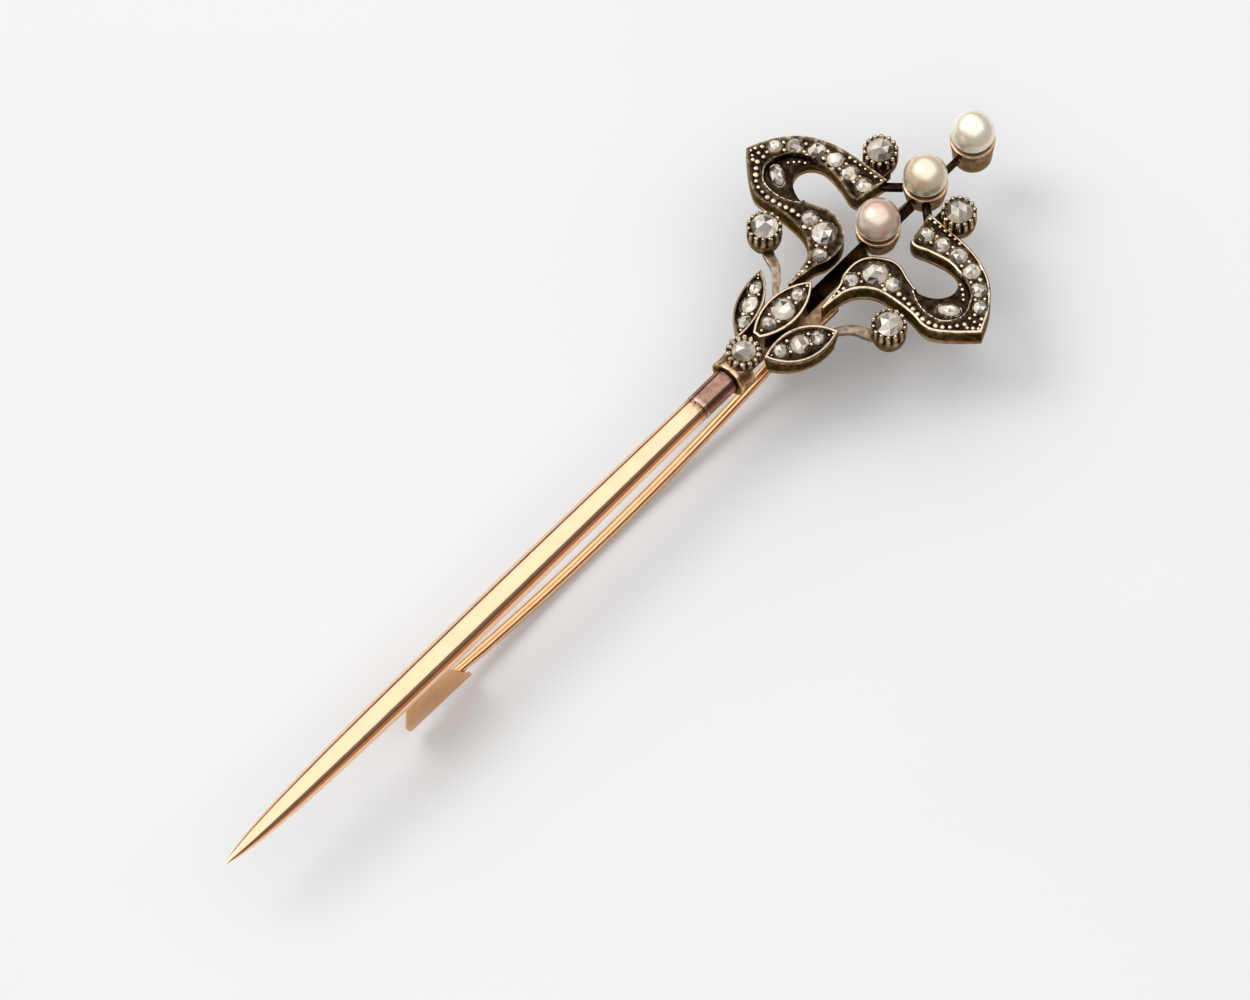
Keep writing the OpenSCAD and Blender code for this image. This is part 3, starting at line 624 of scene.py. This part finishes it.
def walled(top, faces, wear, floor, taper):
    """Closes a sheet into a solid by dropping its rim to the floor, drawn in by the share taper."""
    count = {}
    for face in faces:
        for a, b in zip(face, face[1:] + face[:1]):
            count[(min(a, b), max(a, b))] = count.get((min(a, b), max(a, b)), 0) + 1
    follow = {}
    for face in faces:
        for a, b in zip(face, face[1:] + face[:1]):
            if count[(min(a, b), max(a, b))] == 1:
                follow[a] = b
    loop = [next(iter(follow))]
    while follow[loop[-1]] != loop[0]:
        loop.append(follow[loop[-1]])
    middle = top[loop].mean(0)
    verts, values, rings = top.tolist(), wear.tolist(), [loop]
    for drop in WALL_DROPS:
        ring = []
        for i in loop:
            x, y, z = top[i] - (top[i] - middle) * taper * drop ** 1.5 * (1, 1, 0)
            ring.append(len(verts))
            verts.append([x, y, z + (floor - z) * drop])
            values.append(WALL_WEAR[0] if drop == WALL_DROPS[0] else WALL_WEAR[1])
        rings.append(ring)
    for upper, lower in zip(rings, rings[1:]):
        for k in range(len(loop)):
            n = (k + 1) % len(loop)
            faces.append([upper[n], upper[k], lower[k], lower[n]])
    faces.append(rings[-1][::-1])
    return verts, faces, values


def spots_between(seats, outline, face_z, radius):
    """Pairs of grains beside the gaps between neighbouring stones."""
    spots = []
    for i, a in enumerate(seats):
        for b in seats[i + 1:]:
            step = (b.centre - a.centre)[:2]
            length = np.linalg.norm(step)
            if length - a.half_wide - b.half_wide > NEIGHBOUR_GAP:
                continue
            middle = a.centre[:2] + step * (a.half_wide + length - b.half_wide) / 2 / length
            side = np.array([-step[1], step[0]]) / length
            for sign in (1, -1):
                for out in PAIR_TRIES:
                    spot = middle + sign * side * out
                    if fits(spot, radius, seats, outline, face_z, spots, PAIR_APART):
                        spots.append((spot, radius))
                        break
    return spots


def fits(spot, radius, seats, outline, face_z, spots, apart):
    """True where a grain clears the border, the stones and the grains before it."""
    point = np.array([[*spot, float(face_z(spot[None])[0])]])
    if not inside(spot[None], outline)[0] or distance(spot[None], outline)[0] < 0.8 * radius:
        return False
    if any(seat.gap(point)[0] < 0.75 * radius for seat in seats):
        return False
    return all(np.hypot(*(spot - other)) > apart for other, _ in spots)


def on_face(spots, face_z, drop):
    """Grains' places in space, sunk a little below the face."""
    return [((*spot, float(face_z(spot[None])[0]) - drop), radius) for spot, radius in spots]


# ---- petals ----

# A petal's outline and its curl, for a reach and a rise of DRAWN from the centre line and its foot
PETAL_FOOT_Y = 7.9
DRAWN = (12, 11.5)
CURL_DEPTH = 0.5
PETAL_TOP = [(2.2, 19.4), (5.3, 19.3), (7.5, 18.95), (9.5, 18), (11, 16.4), (12, 14.4)]
PETAL_LOW = [(12, 14.4), (10.6, 13.1), (9.2, 12.1), (8.2, 11.9), (6.9, 12.1), (4.9, 12.05),
             (3.6, 11.8), (2.6, 11.1), (2.05, 10.2), (1.85, 9.2), (1.7, 7.9)]
PETAL_INNER = [(1.55, 8), (1.4, 9.2), (1.2, 10.4), (0.85, 11.2), (0.8, 12.6), (1.35, 13.7),
               (2.6, 14.5), (3.6, 14.6), (4.9, 14.15), (5.9, 13.95), (6.8, 14.2), (7.6, 14.8),
               (8, 15.7), (7.7, 16.6), (6.9, 17.15), (5.8, 17.2), (4.4, 16.9), (3.3, 16.55), (2.7, 16.65)]
PETAL_CURL = [(5.7, 13.75), (6.7, 13.2), (7.7, 13), (8.7, 13.1), (9.3, 13.45), (9.75, 14.1),
              (9.85, 14.8), (9.3, 16.05), (8.6, 16.65), (7.7, 17), (6.9, 17.15)]
# Rows of grains on a petal, as (line, spacing, radius): along the lower band, three at the point,
# at the foot, in the curl and above the stones
GRAIN_ROWS = [([(4.1, 12.3), (5.2, 12.75), (5.9, 12.65), (6.8, 12.5), (7.8, 12.35), (8.5, 12.4),
                (9.15, 12.6), (9.7, 13.0), (10.2, 13.55), (10.55, 14.1)], 0.57, 0.235),
              ([(9.95, 13.15), (10.6, 13.75), (11.2, 14.2), (11.6, 14.5)], 0.46, 0.18),
              ([(10.5, 14.7), (11.1, 14.75), (11.5, 14.85)], 0.46, 0.18),
              ([(10.6, 15.2), (11.2, 15.3)], 0.46, 0.18),
              ([(1.75, 10.3), (1.6, 9.7), (1.65, 9.1), (1.62, 8.5)], 0.45, 0.19),
              ([(8.95, 15.75), (8.3, 16.35), (7.5, 16.7)], 0.46, 0.16),
              ([(2.5, 19.1), (3.3, 19.1), (5.6, 19.0)], 0.48, 0.17)]
ROW_APART = 0.33          # least distance between a row's grain and the others
GRAIN_LIFT = 0.02         # height of a grain's middle above the ground
OUTLINE_STEP = 0.1        # spacing of points along a petal's and a leaf's outline


def petal(side, word):
    """Petal with its stones, its grains and its gold backing."""
    low, high = box("right_petal")
    scale = np.array([high[0] / DRAWN[0], (high[1] - PETAL_FOOT_Y) / DRAWN[1]])
    face = high[2]

    def placed(points):
        line = np.array(points, float)
        line[:, 0] *= scale[0] * side
        line[:, 1] = PETAL_FOOT_Y + (line[:, 1] - PETAL_FOOT_Y) * scale[1]
        return line

    top, low_edge, inner = (respaced(placed(smooth_line(line)), OUTLINE_STEP)
                            for line in (PETAL_TOP, PETAL_LOW, PETAL_INNER))
    outline = np.concatenate([top[:-1], low_edge, inner])
    curl = respaced(placed(smooth_line(PETAL_CURL)), OUTLINE_STEP)
    seats = stone_set(f"{word}_petal_diamonds", f"stones_{word}_petal")

    def face_z(points):
        return np.full(len(points), face)

    solid = pave(outline, face_z, low[2], seats, curl, CURL_DEPTH)
    build(f"silver_{word}_petal", [solid], SILVER, replaced=[f"{word}_petal"])
    spots = spots_between(seats, outline, face_z, 0.18)
    for row, gap, radius in GRAIN_ROWS:
        for spot in respaced(placed(smooth_line(row)), gap):
            if fits(spot, radius, seats, outline, face_z, spots, ROW_APART):
                spots.append((spot, radius))
    sunk = inside(np.array([spot for spot, _ in spots]), curl)
    sunken = []
    for spot, low_down in zip(spots, sunk):
        sunken += on_face([spot], face_z, SINK - GRAIN_LIFT + (CURL_DEPTH - SINK) * low_down)
    grains(f"grains_{word}_petal", sunken)
    refined(f"{word}_petal_backing", f"backing_{word}_petal", 0.07, BACKING_GOLD, base=0.6)


# ---- leaves ----

LEAF_FOOT_Y = 2.1
LEAF_UNDERCUT = 0.15      # height of the centre leaf's underside above the petals
SIDE_LEAF_LEN = 6.0
SIDE_LEAF_HALF = 1.1
SIDE_LEAF_MID = (2.6, 4.6)
SIDE_LEAF_TURN = math.radians(25.7)
SIDE_LEAF_TILT = math.radians(32)
TIP_APART = 0.25          # least distance between a grain at a leaf's tip and the others
# Distances along each leaf from its middle of the grains at its tips
LEAF_TIPS = (-2.35, 2.4, 2.75)
SIDE_LEAF_TIPS = (-2.35, 2.25, 2.55)


def vesica(length, half, gap=OUTLINE_STEP):
    """Pointed oval along Y, as a closed outline."""
    radius = ((length / 2) ** 2 + half ** 2) / (2 * half)
    reach = math.asin(length / 2 / radius)
    angles = np.linspace(-reach, reach, max(8, round(2 * reach * radius / gap)))
    right = np.stack([radius * np.cos(angles) - radius + half, radius * np.sin(angles)], axis=1)
    return np.concatenate([right, -right[1:-1]])


def base_room():
    """Middle and radius of the room that the leaves leave for the base collet."""
    low, high = box("base_collet")
    return (low[:2] + high[:2]) / 2, (high[0] - low[0]) / 2 + 0.01


def centre_leaf():
    """Leaf that overhangs the narrower stalk on which it stands."""
    low, high = box("centre_leaf")
    length, half = high[1] - LEAF_FOOT_Y, high[0]
    middle = np.array([0, LEAF_FOOT_Y + length / 2])
    outline = clipped(vesica(length, half) + middle, *base_room())
    under = box("right_petal")[1][2] + LEAF_UNDERCUT
    seats = stone_set("centre_leaf_diamonds", "stones_centre_leaf")

    def face_z(points):
        return np.full(len(points), high[2])

    leaf = pave(outline, face_z, under, seats, gap=0.1, taper=0.35)
    stalk_outline = np.array([0.62, 0.6]) * vesica(length, half, 0.2) + middle
    stalk = prism(clipped(stalk_outline, *base_room()), low[2], under + 0.02)
    build("silver_centre_leaf", [leaf, stalk], SILVER, replaced=["centre_leaf"])
    spots = spots_between(seats, outline, face_z, 0.18)
    ends = [np.array([0, middle[1] + along]) for along in LEAF_TIPS]
    spots += [(spot, 0.13) for spot in ends
              if fits(spot, 0.1, seats, outline, face_z, spots, TIP_APART)]
    grains("grains_centre_leaf", on_face(spots, face_z, SINK - GRAIN_LIFT))


def prism(outline, low, high):
    """Upright solid over an outline."""
    n = len(outline)
    verts = [(*p, z) for z in (low, high) for p in outline]
    faces = [[k, (k + 1) % n, n + (k + 1) % n, n + k] for k in range(n)]
    faces += [list(range(n - 1, -1, -1)), list(range(n, 2 * n))]
    return verts, faces, [0.2] * n + [0.3] * n


def side_leaf(side, word):
    """Leaf whose face tilts outwards."""
    low, high = box("right_leaf")
    cos, sin = math.cos(SIDE_LEAF_TURN), math.sin(SIDE_LEAF_TURN)
    seats = stone_set(f"{word}_leaf_diamonds", f"stones_{word}_leaf")
    turned = vesica(SIDE_LEAF_LEN, SIDE_LEAF_HALF) @ np.array([[cos, -sin], [sin, cos]])
    outline = clipped(turned + SIDE_LEAF_MID, *base_room())
    outline[:, 0] *= side
    middle_z = high[2] - SIDE_LEAF_HALF * math.tan(SIDE_LEAF_TILT)

    def face_z(points):
        out = np.stack([points[:, 0] * side, points[:, 1]], axis=1) - SIDE_LEAF_MID
        across = out[:, 0] * cos - out[:, 1] * sin
        return middle_z - across * math.tan(SIDE_LEAF_TILT)

    leaf = pave(outline, face_z, low[2], seats, gap=0.1, taper=0.1)
    build(f"silver_{word}_leaf", [leaf], SILVER, replaced=[f"{word}_leaf"])
    spots = spots_between(seats, outline, face_z, 0.17)
    for along in SIDE_LEAF_TIPS:
        spot = np.array([along * sin, along * cos]) + SIDE_LEAF_MID
        spot[0] *= side
        if fits(spot, 0.08, seats, outline, face_z, spots, TIP_APART):
            spots.append((spot, 0.12))
    grains(f"grains_{word}_leaf", on_face(spots, face_z, SINK - GRAIN_LIFT))


# ---- collets ----

CLAWS = 14
SCOOP = 0.12              # depth of the scoops between claws, as a share of the radius
SCOOP_FROM, SCOOP_TO = 0.6, 0.78   # shares of the height where it begins and is full


def collet(node, stone_node):
    """Round collet: a bulb below, scooped sides above and a bead on each claw."""
    low, high = box(node)
    seat = stone_set(stone_node, f"stone_{node}")[0]
    centre = np.array([*seat.centre[:2], 0.0])
    rim, foot, top = (high[0] - low[0]) / 2, low[2], high[2]
    shoulder = foot + SCOOP_FROM * (top - foot)
    bulb = bezier((0.3 * rim, foot), (0.75 * rim, foot), (0.97 * rim, foot + 0.5), (rim, shoulder), 14)
    straight = [(rim, shoulder + (top - 0.05 - shoulder) * t) for t in np.linspace(0.1, 1, 10)]
    inner = [(rim - 0.06, top), (seat.half_wide + 0.08, top - 0.02),
             (seat.half_wide + 0.02, top - 0.1), (0.5 * rim, top - 0.3), (0, top - 0.3)]
    profile = [(0, foot)] + [tuple(p) for p in bulb] + straight + inner
    scoops, values = [], []
    for radius, height in profile:
        up = (height - foot) / (top - foot)
        outside = radius > seat.half_wide + 0.1
        scoops.append(SCOOP * float(rise(up, SCOOP_FROM, SCOOP_TO)) * outside)
        values.append(0.3 + 0.35 * up)

    def groove(angle):
        return (0.5 - 0.5 * math.cos(CLAWS * angle)) ** 2

    def shape(angle, i):
        return 1 - scoops[i] * groove(angle)

    verts, faces, wear = lathe(profile, 12 * CLAWS, values, centre, shape=shape)
    for i, vert in enumerate(verts):
        x, y, _ = vert - centre
        if math.hypot(x, y) > 0.6 * rim:
            claw = float(rise(vert[2], shoulder - 0.1, shoulder + 0.35))
            wear[i] = 0.56 + claw * (0.3 - 0.75 * groove(math.atan2(y, x)))
    parts = [(verts, faces, wear)]
    rng = random.Random(node)
    for k in range(CLAWS):
        angle = 2 * math.pi * k / CLAWS + rng.uniform(-0.06, 0.06)
        ring = rim - 0.16 + rng.uniform(-0.02, 0.02)
        place = centre + (ring * math.cos(angle), ring * math.sin(angle), top - 0.05)
        parts.append(grain(place, rng.uniform(0.12, 0.16), 1.0))
    build(f"silver_{node}", parts, SILVER, replaced=[node], sharp=60)


# ---- pearls and cups ----

PEARL_FILL = 0.992        # mean size of an uneven pearl, as a share of the CAD ball


def pearl(i):
    """Pearl that is a little out of round."""
    low, high = box(f"pearl_{i + 1}")
    centre, radius = (low + high) / 2, (high[0] - low[0]) / 2
    rng = random.Random(i)
    waves = [(rng.uniform(1, 3), rng.uniform(0, 6), rng.uniform(0.001, 0.003)) for _ in range(5)]
    bm = bmesh.new()
    bmesh.ops.create_icosphere(bm, subdivisions=5, radius=1)
    verts = []
    for v in bm.verts:
        uneven = sum(a * math.sin(f * (v.co.x + 2 * v.co.y - v.co.z) + p) for f, p, a in waves)
        verts.append(centre + np.array(v.co) * radius * (PEARL_FILL + uneven))
    faces = [[v.index for v in f.verts] for f in bm.faces]
    bm.free()
    build(f"nacre_{i + 1}", [(verts, faces, [0.0] * len(verts))], PEARLS[i],
          replaced=[f"pearl_{i + 1}"], sharp=180)


def cup(i):
    """Turned cup with a rolled rim and a round seat for its pearl."""
    pearl_low, pearl_high = box(f"pearl_{i + 1}")
    seat_r = (pearl_high[0] - pearl_low[0]) / 2 + 0.02
    seat_z = (pearl_low[2] + pearl_high[2]) / 2
    low, high = box(f"pearl_cup_{i + 1}")
    middle = np.array([0, (low[1] + high[1]) / 2, 0])
    rim, foot, top = (high[0] - low[0]) / 2, low[2], high[2]
    mouth = math.sqrt(seat_r ** 2 - (seat_z - top) ** 2)
    outer = [(0, foot), (rim - 0.75, foot), (rim - 0.5, foot + 0.04), (rim - 0.3, foot + 0.16),
             (rim - 0.22, foot + 0.34), (rim - 0.2, foot + 0.5), (rim - 0.12, top - 1.15),
             (rim - 0.06, top - 0.9), (rim - 0.05, top - 0.62), (rim - 0.07, top - 0.42),
             (rim - 0.1, top - 0.36), (rim - 0.07, top - 0.3), (rim - 0.02, top - 0.25),
             (rim, top - 0.18), (rim, top - 0.08), (rim - 0.03, top - 0.02), (rim - 0.08, top)]
    wear = [0.2, 0.35, 0.55, 0.5, 0.45, 0.4, 0.35, 0.4, 0.4, 0.3, 0.1, 0.2, 0.4, 0.7, 0.9, 0.8, 0.6]
    bottom = 0.25   # angle from the seat's lowest point to its last ring
    angles = np.linspace(math.asin(mouth / seat_r), bottom, 8)
    inner = [(mouth + 0.02, top)]
    inner += [(seat_r * math.sin(a), seat_z - seat_r * math.cos(a)) for a in angles]
    inner.append((0, seat_z - seat_r * math.cos(bottom)))
    wear += [0.5] + [0.1] * (len(inner) - 1)
    build(f"gold_cup_{i + 1}", [lathe(outer + inner, 72, wear, middle)], CUP_GOLD,
          replaced=[f"pearl_cup_{i + 1}"])


def peg(i):
    """Gives a pearl's CAD peg the hinge's gold."""
    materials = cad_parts[f"pearl_peg_{i + 1}"].data.materials
    materials.clear()
    materials.append(HINGE_GOLD)


# ---- blade, ferrule and collar ----

BELLY_DIST = 23.75        # from the ferrule to the fullest part of the blade
BLADE_ROOT_R = 1.02
TANG_R = 0.8


def blade():
    """Long taper from a sharp point, with a tang in the ferrule."""
    low, high = box("blade")
    root = box("ferrule")[0][1]
    length, thick = root - low[1], (high[0] - low[0]) / 2
    belly = length - BELLY_DIST
    front = bezier((0, 0.03), (2.5, 0.72 * thick), (9, thick), (belly, thick), 48)
    rear = bezier((belly, thick), (belly + 10, thick), (length - 7, BLADE_ROOT_R + 0.05),
                  (length, BLADE_ROOT_R), 32)
    profile = [(0, low[1])] + [(r, low[1] + d) for d, r in np.concatenate([front, rear[1:]])]
    profile += [(BLADE_ROOT_R - 0.04, root + 0.03), (TANG_R, root + 0.04), (TANG_R, high[1]), (0, high[1])]
    grime = [0.9 * math.exp(-abs(root - y) / 0.35) for _, y in profile]
    build("gold_blade", [lathe(profile, 96, grime, along="y")], BLADE_GOLD,
          replaced=["blade"], attribute="grime")


def ferrule():
    """Tube whose end at the blade is a little uneven."""
    low, high = box("ferrule")
    radius, y0, y1 = (high[0] - low[0]) / 2, low[1], high[1]
    bore = TANG_R + 0.03
    profile = [(bore, y0), (radius - 0.1, y0), (radius - 0.03, y0 + 0.02), (radius, y0 + 0.08),
               (radius, y0 + 0.22), (radius - 0.02, y0 + 0.4), (radius - 0.02, y1 - 0.5),
               (radius, y1 - 0.2), (radius, y1), (bore, y1), (bore, y0)]
    wear = [0, 0.0, 0.35, 0.9, 0.8, 0.45, 0.5, 0.3, 0.1, 0, 0]

    def uneven(angle, i):
        return 1 - (0.018 * (1 + math.sin(3 * angle + 1) * math.cos(5 * angle)) if i in (1, 2, 3) else 0)

    build("gold_ferrule", [lathe(profile, 72, wear, along="y", shape=uneven)], FERRULE_GOLD,
          replaced=["ferrule"])


def collar():
    """Ring with a raised band at both ends."""
    low, high = box("collar")
    radius, y0, y1 = high[0], low[1], high[1]
    bore = 1.0
    profile = [(bore, y0), (radius - 0.3, y0), (radius - 0.12, y0 + 0.01), (radius - 0.03, y0 + 0.05),
               (radius, y0 + 0.14), (radius, y0 + 0.3), (radius - 0.04, y0 + 0.5),
               (radius - 0.05, 0), (radius - 0.04, y1 - 0.5), (radius, y1 - 0.3), (radius, y1 - 0.12),
               (radius - 0.05, y1 - 0.02), (radius - 0.14, y1), (bore, y1), (bore, y0)]
    wear = [0, 0.1, 0.6, 1, 0.9, 0.7, 0.5, 0.5, 0.5, 0.6, 0.9, 0.8, 0.4, 0, 0]
    build("gold_collar", [lathe(profile, 84, wear, along="y")], COLLAR_GOLD,
          replaced=["collar"])


# ---- the brooch ----

blade()
ferrule()
collar()
for side, word in ((1, "right"), (-1, "left")):
    petal(side, word)
    side_leaf(side, word)
    for place in ("outer", "upper"):
        collet(f"{word}_{place}_collet", f"{word}_{place}_diamond")
    refined(f"{word}_outer_stem", f"gilt_{word}_outer_stem", 0.09, OUTER_STEM_GILT,
            base=0.5)
    refined(f"{word}_upper_neck", f"silver_{word}_neck", 0.06, SILVER, base=0.1)
    refined(f"{word}_link", f"silver_{word}_link", 0.05, SILVER, base=0.1)
centre_leaf()
collet("base_collet", "base_diamond")
for bar in ("centre_bar", "lower_spine_bar", "upper_spine_bar"):
    refined(bar, f"silver_{bar}", 0.05, SILVER, base=0.2)
for i in range(3):
    pearl(i)
    cup(i)
    peg(i)
refined("head_plug", "gold_head_plug", 0.06, BACKING_GOLD)
refined("back_plate", "gold_back_plate", 0.06, BACKING_GOLD, base=0.5)
refined("hinge_bracket", "gold_hinge_bracket", 0.06, HINGE_GOLD, attribute="grime", base=0.15)
refined("hinge_rivet", "gold_hinge_rivet", 0.05, HINGE_GOLD, "pin_pivot", "grime", 0.1)
refined("pin_knuckle", "gold_knuckle", 0.05, STEM_GOLD, "pin", "grime", 0.1)
refined("pin_stem", "gold_pin_stem", 0.01, STEM_GOLD, "pin", "grime", 0.0)
refined("catch", "gold_catch", 0.03, CATCH_GOLD, attribute="grime", base=0.0)

# ---- floor, light and camera ----


def floor():
    """Plain pale floor that the brooch lies on."""
    made = Shader("floor", Roughness=0.75, Specular_IOR_Level=0.0)
    cloud = made.noise(60, 2)
    made.drive(Base_Color=made.ramp(cloud, [(0.3, (0.685, 0.69, 0.695)), (0.7, (0.705, 0.71, 0.715))]))
    bm = bmesh.new()
    bmesh.ops.create_grid(bm, x_segments=1, y_segments=1, size=3)
    mesh = bpy.data.meshes.new("floor")
    bm.to_mesh(mesh)
    bm.free()
    plane = bpy.data.objects.new("floor", mesh)
    bpy.context.scene.collection.objects.link(plane)
    mesh.materials.append(made.material)


def shade_card(low, high, lift):
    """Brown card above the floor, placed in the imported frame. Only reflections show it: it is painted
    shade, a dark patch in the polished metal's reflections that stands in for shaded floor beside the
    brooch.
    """
    made = Shader("shade_card", Roughness=1.0, Specular_IOR_Level=0.0)
    cloud = made.noise(40, 2)
    made.drive(Base_Color=made.ramp(cloud, [(0.3, (0.32, 0.16, 0.085)), (0.7, (0.38, 0.2, 0.11))]))
    corners = [(low[0], low[1]), (high[0], low[1]), (high[0], high[1]), (low[0], high[1])]
    mesh = bpy.data.meshes.new("shade_card")
    mesh.from_pydata([(x * MM, y * MM, lift * MM) for x, y in corners], [], [(0, 1, 2, 3)])
    card = bpy.data.objects.new("shade_card", mesh)
    bpy.context.scene.collection.objects.link(card)
    mesh.materials.append(made.material)
    for ray in ("camera", "diffuse", "shadow", "transmission"):
        setattr(card, "visible_" + ray, False)


def softbox(name, direction, away, size, watts):
    """Rectangular light, away metres from the frame's origin and facing it."""
    light = bpy.data.lights.new(name, "AREA")
    light.shape = "RECTANGLE"
    light.size, light.size_y = size
    light.energy = watts
    lamp = bpy.data.objects.new(name, light)
    back = Vector(direction).normalized()
    lamp.location = back * away
    lamp.rotation_mode = "QUATERNION"
    lamp.rotation_quaternion = back.to_track_quat("Z", "Y")
    lamp.visible_camera = False
    bpy.context.scene.collection.objects.link(lamp)


def surroundings(top, sides):
    """Studio walls: pale above and darker towards the horizon."""
    world = bpy.data.worlds.new("studio")
    world.use_nodes = True
    bpy.context.scene.world = world
    tree = world.node_tree
    place = tree.nodes.new("ShaderNodeTexCoord")
    split = tree.nodes.new("ShaderNodeSeparateXYZ")
    ramp = tree.nodes.new("ShaderNodeValToRGB")
    ramp.color_ramp.elements[0].position = 0.1
    ramp.color_ramp.elements[0].color = (*sides, 1)
    ramp.color_ramp.elements[1].position = 0.75
    ramp.color_ramp.elements[1].color = (*top, 1)
    tree.links.new(place.outputs["Generated"], split.inputs[0])
    tree.links.new(split.outputs["Z"], ramp.inputs["Fac"])
    tree.links.new(ramp.outputs["Color"], tree.nodes["Background"].inputs["Color"])


def camera(azimuth, elevation, away, aim, pixels_per_mm, image_width=1250, sensor=36):
    """Camera far off with a long lens, so that parallel lines stay nearly parallel."""
    a, e = math.radians(azimuth), math.radians(elevation)
    back = Vector((math.sin(a) * math.cos(e), -math.cos(a) * math.cos(e), math.sin(e)))
    data = bpy.data.cameras.new("camera")
    data.sensor_width = sensor
    data.lens = pixels_per_mm * away / MM * sensor / image_width
    data.clip_start, data.clip_end = 0.1, 10
    made = bpy.data.objects.new("camera", data)
    made.rotation_mode = "QUATERNION"
    made.rotation_quaternion = back.to_track_quat("Z", "Y")
    made.location = Vector((np.array(aim) + ORIGIN) * MM) + back * away
    bpy.context.scene.collection.objects.link(made)
    bpy.context.scene.camera = made


floor()
# The standard transform shows the metals' colours as they are set
bpy.context.scene.view_settings.view_transform = "Standard"
surroundings((0.3, 0.3, 0.3), (0.11, 0.09, 0.075))
softbox("key", (-0.54, -0.24, 0.81), 0.9, (0.4, 0.4), 2.2)
softbox("overhead", (-0.185, 0.0, 1.0), 1.0, (2.6, 3.54), 33)
# Card of painted shade that darkens the gold's reflections of the floor beside the brooch
shade_card((14, -400), (500, 400), 0.1)
camera(42.2, 61.1, 1.5, (1.23, -13.35, 0), 13.54)
